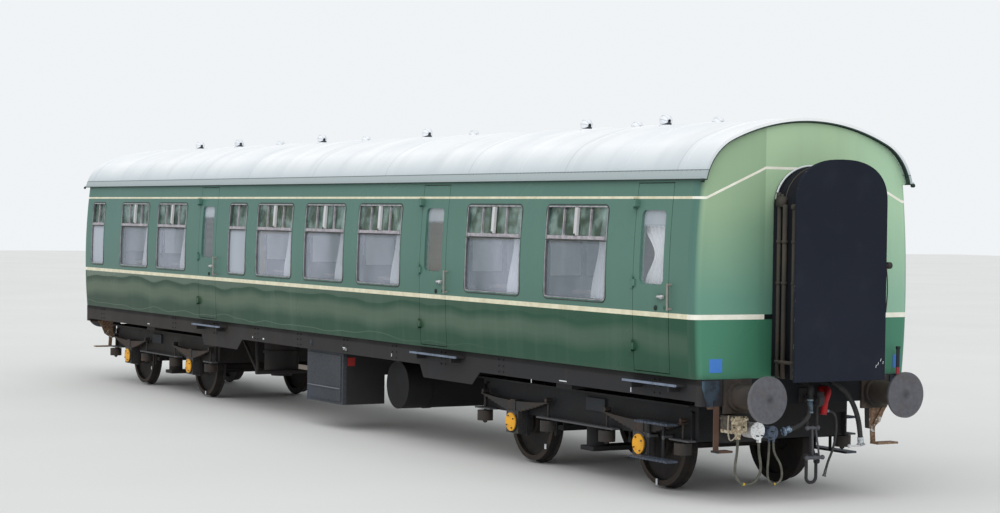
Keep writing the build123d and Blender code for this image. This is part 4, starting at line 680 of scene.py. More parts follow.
# Cords: the control points of each route, as X, Y, Z
cord_routes = {
    "jumper_cable_left": (
        (8.895, -0.950, 0.668), (8.895, -0.950, 0.558), (8.897, -0.976, 0.433), (8.898, -0.982, 0.308),
        (8.900, -0.889, 0.215), (8.900, -0.758, 0.215), (8.898, -0.666, 0.308), (8.897, -0.662, 0.428),
        (8.895, -0.690, 0.533), (8.895, -0.690, 0.628),
    ),
    "jumper_cable_right": (
        (8.878, -0.548, 0.628), (8.878, -0.548, 0.543), (8.879, -0.556, 0.448), (8.880, -0.566, 0.348),
        (8.884, -0.562, 0.252), (8.890, -0.516, 0.204), (8.899, -0.452, 0.204), (8.906, -0.406, 0.250),
        (8.910, -0.404, 0.328), (8.912, -0.432, 0.412), (8.914, -0.486, 0.480), (8.916, -0.524, 0.552),
        (8.916, -0.524, 0.628),
    ),
    "vacuum_hose": (
        (8.932, -0.080, 1.048), (8.932, -0.080, 0.943), (8.930, -0.122, 0.843), (8.926, -0.215, 0.780),
        (8.922, -0.322, 0.750),
    ),
    "air_hose": (
        (8.895, 0.160, 0.913), (8.895, 0.228, 0.913), (8.896, 0.276, 0.863), (8.897, 0.290, 0.790),
        (8.897, 0.287, 0.692), (8.896, 0.270, 0.584), (8.895, 0.234, 0.480), (8.894, 0.186, 0.390),
        (8.893, 0.166, 0.320),
    ),
    "steam_hose": (
        (8.808, 0.338, 1.178), (8.866, 0.408, 1.118), (8.884, 0.492, 1.012), (8.884, 0.564, 0.878),
        (8.880, 0.606, 0.746), (8.878, 0.622, 0.628),
    ),
}
# Columns: node, real length, diameter, far end, stiffness, finish
cords = (
    ("jumper_cable_left", 1.054, 0.027, "object", "medium", "jumper_rubber"),
    ("jumper_cable_right", 0.970, 0.023, "object", "medium", "jumper_rubber"),
    ("vacuum_hose", 0.432, 0.054, "fitting", "stiff", "cable_rubber"),
    ("air_hose", 0.698, 0.025, "fitting", "stiff", "cable_rubber"),
    ("steam_hose", 0.652, 0.052, "fitting", "stiff", "cable_rubber"),
)


def cord_line(name, points, diameter):
    data = bpy.data.curves.new(name, "CURVE")
    data.dimensions = "3D"
    data.resolution_u = 10
    data.bevel_depth = diameter / 2
    data.bevel_resolution = 5
    data.use_fill_caps = True
    spline = data.splines.new("NURBS")
    spline.points.add(len(points) - 1)
    for control, point in zip(spline.points, points):
        control.co = (*point, 1.0)
    spline.order_u = 3
    spline.use_endpoint_u = True
    return new_object(name, data)


def plain_mesh(piece):
    """The piece's shape with its modifiers applied."""
    graph = bpy.context.evaluated_depsgraph_get()
    return bpy.data.meshes.new_from_object(piece.evaluated_get(graph))


def line_points(points):
    """Places along the smooth line of a cord, as a curve with no bevel gives them."""
    bare = cord_line("bare_line", points, 0.0)
    mesh = plain_mesh(bare)
    places = [vertex.co.copy() for vertex in mesh.vertices]
    bpy.data.meshes.remove(mesh)
    bpy.data.objects.remove(bare)
    return places


def join_cords():
    for node, length, diameter, far_end, stiffness, finish in cords:
        points = cord_routes[node]
        line = cord_line(node + "_line", points, diameter)
        line.data.materials.append(finishes[finish])
        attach(line, "coach")
        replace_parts(line, node)


join_cords()


# Making pieces
def new_piece(name, bm, finish, body="coach", smooth=True):
    bmesh.ops.recalc_face_normals(bm, faces=bm.faces)
    mesh = bpy.data.meshes.new(name)
    bm.to_mesh(mesh)
    bm.free()
    mesh.materials.append(finishes[finish])
    for face in mesh.polygons:
        face.use_smooth = smooth
    piece = new_object(name, mesh)
    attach(piece, body)
    return piece


def build(name, finish, parts, body="coach", smooth=True):
    """A piece made of parts, each given as the function that adds it and its sizes."""
    bm = bmesh.new()
    for add, *sizes in parts:
        add(bm, *sizes)
    return new_piece(name, bm, finish, body, smooth)


def add_box(bm, low, high, edge=0.0):
    middle = [(a + b) / 2 for a, b in zip(low, high)]
    size = [abs(b - a) for a, b in zip(low, high)]
    made = bmesh.ops.create_cube(bm, size=1.0)
    bmesh.ops.scale(bm, vec=size, verts=made["verts"])
    bmesh.ops.translate(bm, vec=middle, verts=made["verts"])
    if edge:
        edges = {e for v in made["verts"] for e in v.link_edges}
        bmesh.ops.bevel(bm, geom=list(edges), offset=edge, segments=2, affect="EDGES")


def add_rod(bm, start, end, radius, sides=12, end_radius=None):
    start = Vector(start)
    run = Vector(end) - start
    sizes = {"radius1": radius, "radius2": end_radius or radius, "depth": run.length}
    made = bmesh.ops.create_cone(bm, cap_ends=True, segments=sides, **sizes)
    turn = Vector((0, 0, 1)).rotation_difference(run).to_matrix().to_4x4()
    bmesh.ops.transform(bm, matrix=Matrix.Translation(start + run / 2) @ turn, verts=made["verts"])


def add_ball(bm, middle, radius):
    made = bmesh.ops.create_icosphere(bm, subdivisions=2, radius=radius)
    bmesh.ops.translate(bm, vec=middle, verts=made["verts"])


def add_rows(bm, rows, closed=True, capped=False):
    """Faces from each row of points to the next. Closed rows go right round; caps close both ends."""
    made = []
    for row in rows:
        made.append([spot if isinstance(spot, bmesh.types.BMVert) else bm.verts.new(spot) for spot in row])
    for first, second in zip(made, made[1:]):
        for index in range(len(first) if closed else len(first) - 1):
            after = (index + 1) % len(first)
            bm.faces.new((first[index], first[after], second[after], second[index]))
    if capped:
        bm.faces.new(made[0])
        bm.faces.new(made[-1])
    return made


def ring_places(middle, first, second, steps):
    """Places round a ring whose half axes are first and second."""
    middle, first, second = [Vector(part) for part in (middle, first, second)]
    turns = [2 * math.pi * step / steps for step in range(steps)]
    return [middle + first * math.cos(turn) + second * math.sin(turn) for turn in turns]


def add_tube(bm, places, radius, sides=8, closed=False):
    """A tube along places. The sections keep one direction, so that they don't twist."""
    rings = []
    count = len(places)
    for index, place in enumerate(places):
        before = places[index - 1] if index or closed else place
        after = places[(index + 1) % count] if index < count - 1 or closed else place
        along = (Vector(after) - Vector(before)).normalized()
        side = (side - along * side.dot(along)).normalized() if rings else along.orthogonal().normalized()
        section = ring_places(place, side * radius, along.cross(side) * radius, sides)
        rings.append([bm.verts.new(point) for point in section])
    add_rows(bm, rings + rings[:1] if closed else rings, capped=not closed)


# Rivet and bolt heads, one for each place, by Geometry Nodes
def stud_tree():
    tree = bpy.data.node_groups.new("stud_heads", "GeometryNodeTree")
    sockets = {
        "Geometry": "Geometry",
        "Radius": "Float",
        "Height": "Float",
        "Sides": "Int",
        "Finish": "Material",
    }
    for name, kind in sockets.items():
        tree.interface.new_socket(name, in_out="INPUT", socket_type="NodeSocket" + kind)
    tree.interface.new_socket("Geometry", in_out="OUTPUT", socket_type="NodeSocketGeometry")
    kinds = {
        "given": "NodeGroupInput",
        "result": "NodeGroupOutput",
        "head": "GeometryNodeMeshCone",
        "spread": "GeometryNodeInstanceOnPoints",
        "facing": "GeometryNodeInputNamedAttribute",
        "turn": "FunctionNodeAlignRotationToVector",
        "shrink": "ShaderNodeMath",
        "real": "GeometryNodeRealizeInstances",
        "dress": "GeometryNodeSetMaterial",
    }
    parts = {name: tree.nodes.new(kind) for name, kind in kinds.items()}
    parts["facing"].data_type = "FLOAT_VECTOR"
    parts["facing"].inputs["Name"].default_value = "facing"
    parts["turn"].axis = "Z"
    parts["shrink"].operation = "MULTIPLY"
    parts["shrink"].inputs[1].default_value = 0.72
    # Columns: node, its output, next node, its input
    for start, output, end, entry in (
        ("given", "Radius", "head", "Radius Bottom"),
        ("given", "Radius", "shrink", 0),
        ("shrink", 0, "head", "Radius Top"),
        ("given", "Height", "head", "Depth"),
        ("given", "Sides", "head", "Vertices"),
        ("given", "Geometry", "spread", "Points"),
        ("head", "Mesh", "spread", "Instance"),
        ("facing", "Attribute", "turn", "Vector"),
        ("turn", "Rotation", "spread", "Rotation"),
        ("spread", "Instances", "real", "Geometry"),
        ("real", "Geometry", "dress", "Geometry"),
        ("given", "Finish", "dress", "Material"),
        ("dress", "Geometry", "result", "Geometry"),
    ):
        tree.links.new(parts[start].outputs[output], parts[end].inputs[entry])
    return tree


stud_heads = stud_tree()


def add_studs(name, places, radius, height, sides, finish, body="coach"):
    """places holds pairs: where a head sits and which way it faces."""
    mesh = bpy.data.meshes.new(name)
    mesh.from_pydata([place for place, facing in places], [], [])
    directions = mesh.attributes.new("facing", "FLOAT_VECTOR", "POINT")
    directions.data.foreach_set("vector", [part for place, facing in places for part in facing])
    points = new_object(name, mesh)
    modifier = points.modifiers.new("stud_heads", "NODES")
    modifier.node_group = stud_heads
    values = {"Radius": radius, "Height": height, "Sides": sides, "Finish": finishes[finish]}
    for item in stud_heads.interface.items_tree:
        if item.in_out == "INPUT" and item.name in values:
            modifier[item.identifier] = values[item.name]
    heads = plain_mesh(points)
    points.modifiers.remove(modifier)
    points.data = heads
    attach(points, body)


def skin_y(z):
    """Y of the body side's skin at a height, on the arc through three points of it."""
    points = ((1.340, 1.225), (1.378, 2.100), (1.310, 3.190))
    (y0, z0), (y1, z1), (y2, z2) = [(y, h + rail_top) for y, h in points]
    a = y1 - y0
    b = z1 - z0
    c = y2 - y0
    d = z2 - z0
    e = (a * (y0 + y1) + b * (z0 + z1)) / 2
    f = (c * (y0 + y2) + d * (z0 + z2)) / 2
    middle_y = (d * e - b * f) / (a * d - b * c)
    middle_z = (a * f - c * e) / (a * d - b * c)
    radius = math.hypot(y0 - middle_y, z0 - middle_z)
    return middle_y + math.sqrt(radius ** 2 - (z - middle_z) ** 2)


def window_rubbers():
    """Dark rubber round each window."""
    bm = bmesh.new()
    high = window_top - window_corner
    low = window_bottom + window_corner
    for side in (-1, 1):
        for x0, x1 in all_windows:
            places = []
            x0 += window_corner
            x1 -= window_corner
            for quarter, (cx, cz) in enumerate(((x1, high), (x0, high), (x0, low), (x1, low))):
                for step in range(5):
                    turn = math.radians(90 * quarter + 22.5 * step)
                    z = cz + window_corner * math.sin(turn)
                    places.append((cx + window_corner * math.cos(turn), side * (skin_y(z) + 0.001), z))
            add_tube(bm, places, 0.007, 6, True)
    new_piece("window_rubbers", bm, "window_rubber")


# Gangways: fabric bellows between the end and the face plate
bellows_low = 1.250 + rail_top
bellows_shoulder = 2.972 + rail_top
bellows_top = 3.350 + rail_top
bellows_folds = 5
fold_depth = 0.045


def arch_places(out, top_out, steps=14):
    """One turn round the gangway in Y and Z, moved out a little, with the way out at each place."""
    half = gangway_half + out
    rise = bellows_top + top_out - bellows_shoulder
    middle_z = (bellows_low + bellows_shoulder) / 2
    places = [((-half, bellows_low), (-1.0, 0.0)), ((-half, middle_z), (-1.0, 0.0))]
    for step in range(steps + 1):
        turn = math.pi * (1 - step / steps)
        place = (half * math.cos(turn), bellows_shoulder + rise * math.sin(turn))
        places.append((place, Vector((math.cos(turn) / half, math.sin(turn) / rise)).normalized()))
    return places + [((half, middle_z), (1.0, 0.0)), ((half, bellows_low), (1.0, 0.0))]


def bellows():
    bm = bmesh.new()
    outline = arch_places(-0.002, -0.002)
    start = body_end + 0.004
    stop = gangway_face - 0.004
    steps = bellows_folds * 4
    for sign in (-1, 1):
        rows = []
        for step in range(steps + 1):
            x = sign * (start + (stop - start) * step / steps)
            depth = fold_depth * (0.5 - 0.5 * math.cos(2 * math.pi * step / 4))
            rows.append([(x, y - depth * out_y, z - depth * out_z) for (y, z), (out_y, out_z) in outline])
        add_rows(bm, rows)
    piece = new_piece("gangway_bellows", bm, "bellows_fabric")
    solid = piece.modifiers.new("thickness", "SOLIDIFY")
    solid.thickness = 0.008
    solid.offset = -1.0
    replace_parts(piece, "gangways")


def gangway_bars():
    """Brown bars that stand beside the bellows, with knuckles at top and bottom, and hoops over them."""
    bm = bmesh.new()
    low = 1.262
    for sign in (-1, 1):
        for side in (-1, 1):
            out = side * 0.478
            # Columns: X, radius, top
            for x, radius, top in ((8.895, 0.021, 3.02), (8.986, 0.024, 2.99), (9.136, 0.020, 2.97)):
                x *= sign
                add_rod(bm, (x, out, low), (x, out, top), radius)
                for z in (1.43, 2.21, 2.62):
                    add_rod(bm, (x, out, z - 0.014), (x, out, z + 0.014), radius + 0.007)
            add_box(bm, (sign * 8.862, side * 0.440, 2.965), (sign * 8.985, side * 0.506, 3.070), 0.010)
            add_rod(bm, (sign * 8.880, out, 3.050), (sign * 8.880, out, 3.110), 0.024, 10)
            add_rod(bm, (sign * 8.940, out, 3.050), (sign * 8.940, out, 3.092), 0.016, 10)
            add_rod(bm, (sign * 9.136, side * 0.450, 2.965), (sign * 9.136, side * 0.506, 2.965), 0.026, 10)
            add_box(bm, (sign * 8.868, side * 0.446, 1.405), (sign * 9.16, side * 0.500, 1.440), 0.008)
        for x in (8.960, 9.138):
            hoop = [(sign * x, y, z) for (y, z), out in arch_places(0.006, 0.006)[2:-2]]
            add_tube(bm, hoop, 0.007, 6)
    new_piece("gangway_bars", bm, "rusty_bars")


# Face plates of the gangways: a flat arch with round shoulders, a soft edge and bolts round it
plate_half = 0.572
plate_low = 1.245
plate_shoulder = 3.020
plate_top = 3.442
plate_roundness = 0.83
bolt_inset = 0.022
bolt_face_x = 9.2998


def plate_outline(inset=0.0, steps=30):
    half = plate_half - inset
    rise = plate_top - plate_shoulder - inset
    places = [(-half, plate_low + inset)]
    for step in range(steps + 1):
        turn = math.pi * (1 - step / steps)
        level = math.cos(turn)
        y = math.copysign(abs(level) ** plate_roundness, level) * half
        places.append((y, plate_shoulder + rise * abs(math.sin(turn)) ** plate_roundness))
    return places + [(half, plate_low + inset)]


def face_plates():
    bm = bmesh.new()
    spots = plate_outline(bolt_inset)[2:-2:2]
    for side in (-1, 1):
        spots += [(side * (plate_half - bolt_inset), 1.33 + 0.205 * step) for step in range(9)]
    spots += [(-0.48 + 0.16 * step, plate_low + 0.024) for step in range(7)]
    bolts = [((sign * bolt_face_x, y, z), (sign, 0.0, 0.0)) for sign in (-1, 1) for y, z in spots]
    for sign in (-1, 1):
        rows = []
        for x, inset in ((9.262, 0.004), (9.266, 0.0), (9.292, 0.0), (9.298, 0.002), (9.300, 0.008)):
            rows.append([(sign * x, y, z) for y, z in plate_outline(inset)])
        add_rows(bm, rows, capped=True)
    piece = new_piece("gangway_face_plates", bm, "gangway_plate_black", smooth=False)
    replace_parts(piece, "gangway_plates")
    add_studs("plate_bolts", bolts, 0.0070, 0.0030, 8, "gangway_plate_black")
    chips = []
    # Columns: Y, Z, lean
    for y, z, lean in ((0.450, 1.384, 0.4), (0.474, 1.408, 0.6), (0.508, 1.446, 0.5), (0.540, 1.420, 0.3)):
        chips.append((add_rod, (9.2995, y, z - 0.014), (9.2995, y + 0.020 * lean, z + 0.014), 0.0032, 5))
    build("plate_chips", "chalk_white", chips, smooth=False)


def roof_y_z(share, out=0.0):
    """A place on the roof's outline, from share 0 at one eave to 1 at the other."""
    t = abs(share - 0.5) * 2
    side = -1 if share < 0.5 else 1
    if t < 0.6:
        turn = crown_turn * t / 0.6
        y = math.sin(turn) * (crown_radius + out)
        z = crown_middle_z + math.cos(turn) * (crown_radius + out)
    else:
        start = math.atan2(-shoulder_normal.y, -shoulder_normal.x)
        end = math.atan2(eaves - shoulder_middle.y, eave_y - shoulder_middle.x)
        turn = start + (end - start) * (t - 0.6) / 0.4
        y = shoulder_middle.x + (shoulder_radius + out) * math.cos(turn)
        z = shoulder_middle.y + (shoulder_radius + out) * math.sin(turn)
    return side * y, z


def roof_strips():
    """Roof seams: thin cover strips bent over the roof."""
    bm = bmesh.new()
    steps = 36
    half = 0.016
    spacing = 1.05
    # Columns: X off the strip's middle, height off the roof
    section = ((-half, 0.0), (-half + 0.003, 0.0035), (half - 0.003, 0.0035), (half, 0.0))
    for index in range(-8, 9):
        x = index * spacing
        rows = []
        for step in range(steps + 1):
            rows.append([(x + offset, *roof_y_z(step / steps, out)) for offset, out in section])
        add_rows(bm, rows, capped=True)
    new_piece("roof_seam_strips", bm, "weathered_roof", smooth=False)


def end_plane_x(y):
    """X of the end's slanted side panel at Y."""
    share = max(0.0, (abs(y) - 0.620) / (1.378 - 0.620))
    return body_end - 0.048 * share


def blue_plates():
    """Blank blue plates at the corners of the near end."""
    bm = bmesh.new()
    z0 = 1.29 + rail_top
    z1 = z0 + 0.135
    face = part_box("body_end_near")[1].x
    for y0, y1 in ((-1.19, -1.04), (1.160, 1.265)):
        corners = ((y0, z0), (y1, z0), (y1, z1), (y0, z1))
        rows = [[(min(end_plane_x(y), face) + out, y, z) for y, z in corners] for out in (0.001, 0.005)]
        add_rows(bm, rows, capped=True)
    new_piece("blank_plates", bm, "blank_plate_blue", smooth=False)


# Curtains: gathered cloth, tied back beside each wide window
curtain_top = 2.93 + rail_top
curtain_low = 1.95 + rail_top
curtain_flat = 0.52
curtain_folds = 6
curtain_rows = 16
droplight_top = 2.740 + rail_top
droplight_low = 2.140 + rail_top
droplight_flat = 0.58
# Columns of each row: share of the drop, width of the cloth there
drawn_spans = ((0.0, 0.20), (0.42, 0.26), (1.0, 0.40))
drawn_back_spans = ((0.0, 0.34), (0.40, 0.14), (1.0, 0.16))
tied_spans = ((0.0, 0.34), (0.45, 0.12), (1.0, 0.20))
droplight_spans = ((0.0, 0.49), (0.50, 0.28), (1.0, 0.44))


def fold_depth_for(width, flat):
    """The depth of even folds that take up flat cloth in a given width."""
    low = 0.0
    high = 0.2
    samples = 120
    for attempt in range(30):
        depth = (low + high) / 2
        length = 0.0
        last = 0.0
        for step in range(1, samples + 1):
            here = depth * math.sin(2 * math.pi * curtain_folds * step / samples)
            length += math.hypot(width / samples, here - last)
            last = here
        if length < flat:
            low = depth
        else:
            high = depth
    return (low + high) / 2


def width_at(spans, share):
    for (share0, width0), (share1, width1) in zip(spans, spans[1:]):
        if share <= share1:
            part = (share - share0) / (share1 - share0)
            part = part * part * (3 - 2 * part)
            return width0 + (width1 - width0) * part
    return spans[-1][1]


def gathered_cloth(name, start, inward, side, spans, top, low, flat, inset, body, holder):
    """A hanging cloth in even folds, from an edge inwards."""
    columns = curtain_folds * 8
    bm = bmesh.new()
    grid = []
    for row in range(curtain_rows + 1):
        share = row / curtain_rows
        z = top + (low - top) * share
        width = width_at(spans, share)
        depth = fold_depth_for(width, flat)
        line = []
        for step in range(columns + 1):
            part = step / columns
            fold = depth * (1 + math.sin(2 * math.pi * curtain_folds * part))
            line.append((start + inward * width * part, side * (skin_y(z) - inset - fold), z))
        grid.append(line)
    add_rows(bm, grid, closed=False)
    piece = new_piece(name, bm, "curtain_cloth", body)


def curtains():
    drop = (curtain_top, curtain_low, curtain_flat)
    for number, (x0, x1) in enumerate(wide_windows):
        for side, hand in hands:
            near = (x1 - 0.01, -1, side, tied_spans)
            far = (x0 + 0.01, 1, side, tied_spans)
            if hand == "left":
                near = (x1 - 0.01, -1, side, drawn_spans)
                far = (x0 - 0.27, 1, side, drawn_back_spans)
            for end, places in (("near", near), ("far", far)):
                name = f"curtain_{hand}_{number}_{end}"
                gathered_cloth(name, *places, *drop, 0.074, "coach", "body_side_" + hand)
    drop = (droplight_top, droplight_low, droplight_flat)
    for side, hand in hands:
        door = f"door_{hand}_near"
        places = (8.160, -1, side, droplight_spans)
        gathered_cloth(f"droplight_curtain_{hand}", *places, *drop, 0.092, door, door)
        y = side * (skin_y(droplight_top) - 0.088)
        rail = [(add_rod, (7.765, y, droplight_top), (8.172, y, droplight_top), 0.006, 10)]
        for x in (7.775, 8.162):
            wall = (x, side * (skin_y(droplight_top) - 0.040), droplight_top)
            rail.append((add_rod, (x, y, droplight_top), wall, 0.005, 8))
        build(f"droplight_rail_{hand}", "lock_dark", rail, door)


# Roof ventilators: curved shells, the top one over those beside it, on a short neck
vent_side = 0.350
vent_radius = 0.080
vent_height = 0.120
# Columns: first and last turn in degrees from level, share of the full radius
vent_shells = ((58, 122, 1.0), (16, 66, 0.93), (114, 164, 0.93), (-28, 24, 0.86), (156, 208, 0.86))


def dome_shell(bm, centre, outer, inner, first_turn, last_turn):
    """A closed slice of a dome, between two turns about an axis along the coach."""
    turns = 5
    arcs = 10
    skins = []
    for radius in (outer, inner):
        skin = []
        for step in range(turns + 1):
            turn = math.radians(first_turn + (last_turn - first_turn) * step / turns)
            row = []
            for part in range(1, arcs):
                tilt = math.pi * (part / arcs - 0.5)
                level = math.cos(tilt)
                way = Vector((math.sin(tilt), math.cos(turn) * level, math.sin(turn) * level))
                row.append(centre + radius * way)
            skin.append(row)
        skins.append(add_rows(bm, skin, closed=False))
    rims = []
    for skin in skins:
        right = [row[-1] for row in skin[:-1]]
        left = [row[0] for row in skin[:0:-1]]
        rims.append(skin[0][:-1] + right + skin[-1][:0:-1] + left)
    add_rows(bm, rims)


def roof_ventilators():
    shells = bmesh.new()
    necks = bmesh.new()
    seat_z = crown_middle_z + math.sqrt(crown_radius ** 2 - vent_side ** 2)
    for x in vent_rows:
        for side in (-1, 1):
            y = side * vent_side
            centre = Vector((x, y, seat_z + vent_height - vent_radius))
            for first_turn, last_turn, share in vent_shells:
                outer = vent_radius * share
                dome_shell(shells, centre, outer, outer - 0.004, first_turn, last_turn)
            add_rod(necks, centre - Vector((0, 0, 0.05)), centre + Vector((0, 0, 0.045)), 0.048, 16)
            add_rod(shells, (x, y, seat_z - 0.012), (x, y, seat_z + 0.004), 0.074, 20)
    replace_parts(new_piece("roof_vent_shells", shells, "vent_white"), "roof_vents")
    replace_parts(new_piece("roof_vent_necks", necks, "vent_neck"), "roof_vents")


def add_slab(bm, x0, x1, z0, z1, side, inner, outer):
    """A flat bar that follows the side's curve, from inner to outer off the skin."""
    steps = 3
    corners = ((x0, inner), (x1, inner), (x1, outer), (x0, outer))
    rows = []
    for step in range(steps + 1):
        z = z0 + (z1 - z0) * step / steps
        rows.append([(x, side * (skin_y(z) + out), z) for x, out in corners])
    add_rows(bm, rows, capped=True)


def window_stays():
    """The wide bright stay where a window's sliding panes meet, and the dark seal under the transom."""
    stays = bmesh.new()
    seals = bmesh.new()
    low = transom_z + 0.022
    high = window_top - 0.030
    for side in (-1, 1):
        for x0, x1 in wide_windows:
            middle = (x0 + x1) / 2
            # Columns: X from and to, off the window's middle, and how far the bar stands out
            for start, end, outer in ((-0.034, -0.004, 0.012), (0.004, 0.036, 0.020), (-0.004, 0.004, 0.004)):
                add_slab(stays, middle + start, middle + end, low, high, side, -0.012, outer)
            add_slab(seals, middle - 0.012, middle + 0.014, low - 0.006, low + 0.020, side, 0.010, 0.026)
        for x0, x1 in all_windows:
            add_slab(seals, x0 + 0.012, x1 - 0.012, transom_z - 0.036, transom_z - 0.024, side, -0.004, 0.004)
    new_piece("window_stays", stays, "window_stay_alloy", smooth=False)
    new_piece("transom_seals", seals, "window_rubber", smooth=False)


def roof_end_shadow_line():
    """A dark tube between the roof's end and the end panel: a painted shadow line under the roof's edge."""
    steps = 40
    parts = []
    for sign in (-1, 1):
        x = sign * (body_end + 0.004)
        places = [(x, *roof_y_z(0.03 + 0.94 * step / steps, -0.045)) for step in range(steps + 1)]
        parts.append((add_tube, places, 0.004, 6))
    build("roof_end_shadow_line", "lock_dark", parts)


# Seats: pads blown up by cloth simulation from a slightly smaller block, then copied to each seat
# Columns: X between the backs of a row, way it faces, 0 for a pair back to back
seat_rows = (
    (7.370, -1),
    (5.655, 0),
    (3.930, 1),
    (2.800, -1),
    (1.190, 0),
    (-0.385, 0),
    (-1.860, 1),
    (-4.150, -1),
    (-5.665, 0),
    (-7.370, 1),
)
seat_middle_y = 0.760
seat_width = 0.960
seat_depth = 0.520
seat_gap = 0.006
back_thickness = 0.090
cushion_low = 1.590 + rail_top
cushion_high = 1.700 + rail_top
back_high = 2.520 + rail_top
pad_voxel = 0.034
pad_frames = 20
seam_width = 0.020
seam_dip = 0.22


def stuffed_pad(name, size, cap):
    """A pad about the origin. It starts smaller by cap, and no point moves out by more than that."""
    bm = bmesh.new()
    half = [part / 2 - cap for part in size]
    add_box(bm, [-part for part in half], half, 0.022)
    mesh = bpy.data.meshes.new(name)
    bm.to_mesh(mesh)
    bm.free()
    pad = new_object(name, mesh)
    remesh = pad.modifiers.new("even_faces", "REMESH")
    remesh.mode = "VOXEL"
    remesh.voxel_size = pad_voxel
    even = plain_mesh(pad)
    pad.modifiers.clear()
    pad.data = even
    blow_up(pad, cap)
    soften = pad.modifiers.new("soften", "SUBSURF")
    soften.levels = 1
    soften.render_levels = 1
    smooth = plain_mesh(pad)
    bpy.data.objects.remove(pad)
    thin = size.index(min(size))
    for vertex in smooth.vertices:
        place = vertex.co
        near = math.exp(-(place.y / seam_width) ** 2)
        place[thin] *= 1 - seam_dip * near
    for face in smooth.polygons:
        face.use_smooth = True
    smooth.materials.clear()
    smooth.materials.append(finishes["seat_moquette"])
    return smooth


def blow_up(pad, cap):
    start = [vertex.co.copy() for vertex in pad.data.vertices]
    stuffing = pad.modifiers.new("stuffing", "CLOTH")
    cloth_rules = stuffing.settings
    cloth_rules.quality = 6
    cloth_rules.mass = 0.3
    cloth_rules.tension_stiffness = 12.0
    cloth_rules.compression_stiffness = 12.0
    cloth_rules.shear_stiffness = 4.0
    cloth_rules.bending_stiffness = 0.4
    cloth_rules.use_pressure = True
    cloth_rules.uniform_pressure_force = 4.0
    cloth_rules.effector_weights.gravity = 0.0
    stuffing.point_cache.frame_start = 1
    stuffing.point_cache.frame_end = pad_frames
    for step in range(1, pad_frames + 1):
        bpy.context.scene.frame_set(step)
    blown = plain_mesh(pad)
    pad.modifiers.clear()
    for vertex, place in zip(blown.vertices, start):
        move = vertex.co - place
        if move.length > cap:
            vertex.co = place + move * (cap / move.length)
    pad.data = blown
    bpy.context.scene.frame_set(1)


def placed_copy(mesh, name, middle, facing):
    """A copy of a pad with its place in its mesh, turned half round for a seat that faces the far end."""
    copy = mesh.copy()
    copy.name = name
    turn = Matrix.Rotation(0.0 if facing > 0 else math.pi, 4, "Z")
    copy.transform(Matrix.Translation(middle) @ turn)
    piece = new_object(name, copy)
    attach(piece, "coach")
    return piece


def seats():
    cushion = stuffed_pad("cushion_shape", (seat_depth, seat_width, cushion_high - cushion_low), 0.016)
    back = stuffed_pad("back_shape", (back_thickness, seat_width, back_high - cushion_low), 0.014)
    number = 0
    for x, row_facing in seat_rows:
        for facing in (-1, 1) if row_facing == 0 else (row_facing,):
            for side in (-1, 1):
                number += 1
                y = side * seat_middle_y
                back_x = x + facing * (seat_gap + back_thickness / 2)
                cushion_x = x + facing * (seat_gap + back_thickness + seat_depth / 2)
                cushion_middle = (cushion_x, y, (cushion_low + cushion_high) / 2)
                back_middle = (back_x, y, (cushion_low + back_high) / 2)
                seat_piece = placed_copy(cushion, f"seat_cushion_{number}", cushion_middle, facing)
                back_piece = placed_copy(back, f"seat_back_{number}", back_middle, facing)
                for piece in (seat_piece, back_piece):
                    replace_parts(piece, "seat_cushions")
                for part, offset in enumerate((-0.235, 0.235)):
                    headrest_cover(f"headrest_cover_{number}_{part}", back_x, y + offset, facing)


# White covers laid over the tops of the seat backs
cover_width = 0.400
cover_front = 0.360
cover_rear = 0.240
cover_off = 0.0035
cover_round = 0.030


def cover_path():
    """From the front hem over the top to the rear one: way out to the front, height above the back's top."""
    out = back_thickness / 2 + cover_off
    places = [(out, -cover_front + cover_front * step / 9) for step in range(9)]
    arc = cover_round + cover_off
    for middle, first in ((out - arc, 0), (arc - out, 90)):
        for step in range(6):
            turn = math.radians(first + step * 18)
            places.append((middle + arc * math.cos(turn), cover_off - arc + arc * math.sin(turn)))
    places += [(-out, -cover_round - (cover_rear - cover_round) * step / 6) for step in range(1, 7)]
    return places


def headrest_cover(name, back_x, y, facing):
    path = cover_path()
    columns = 12
    bm = bmesh.new()
    grid = []
    for out, height in path:
        hang = min(1.0, max(0.0, -height - 0.05) / 0.3)
        row = []
        for step in range(columns + 1):
            part = step / columns
            wave = 0.0025 * hang * (1 + math.sin(2 * math.pi * 2.5 * part)) if out > 0 else 0.0
            row.append((back_x + facing * (out + wave), y + cover_width * (part - 0.5), back_high + height))
        grid.append(row)
    add_rows(bm, grid, closed=False)
    piece = new_piece(name, bm, "headrest_cloth")


# Cover bolts and rings on the axleboxes
ring_radius = 0.112
ring_side = 1.088
cover_bolt_radius = 0.078
cover_bolt_side = 1.116


def axlebox_rings():
    for sign, end in ends:
        rings = []
        places = []
        for offset in (-axle_offset, axle_offset):
            x = sign * bogie_x + offset
            for side in (-1, 1):
                middle = (x, side * ring_side, axle_z)
                ring = ring_places(middle, (ring_radius, 0, 0), (0, 0, ring_radius), 32)
                rings.append((add_tube, ring, 0.012, 6, True))
                middle = (x, side * cover_bolt_side, axle_z)
                spots = ring_places(middle, (cover_bolt_radius, 0, 0), (0, 0, cover_bolt_radius), 12)[1::3]
                places += [(spot, (0.0, side, 0.0)) for spot in spots]
        build(f"axlebox_rings_{end}", "bogie_black", rings, f"bogie_{end}")
        add_studs(f"cover_bolts_{end}", places, 0.010, 0.010, 6, "bogie_black", f"bogie_{end}")


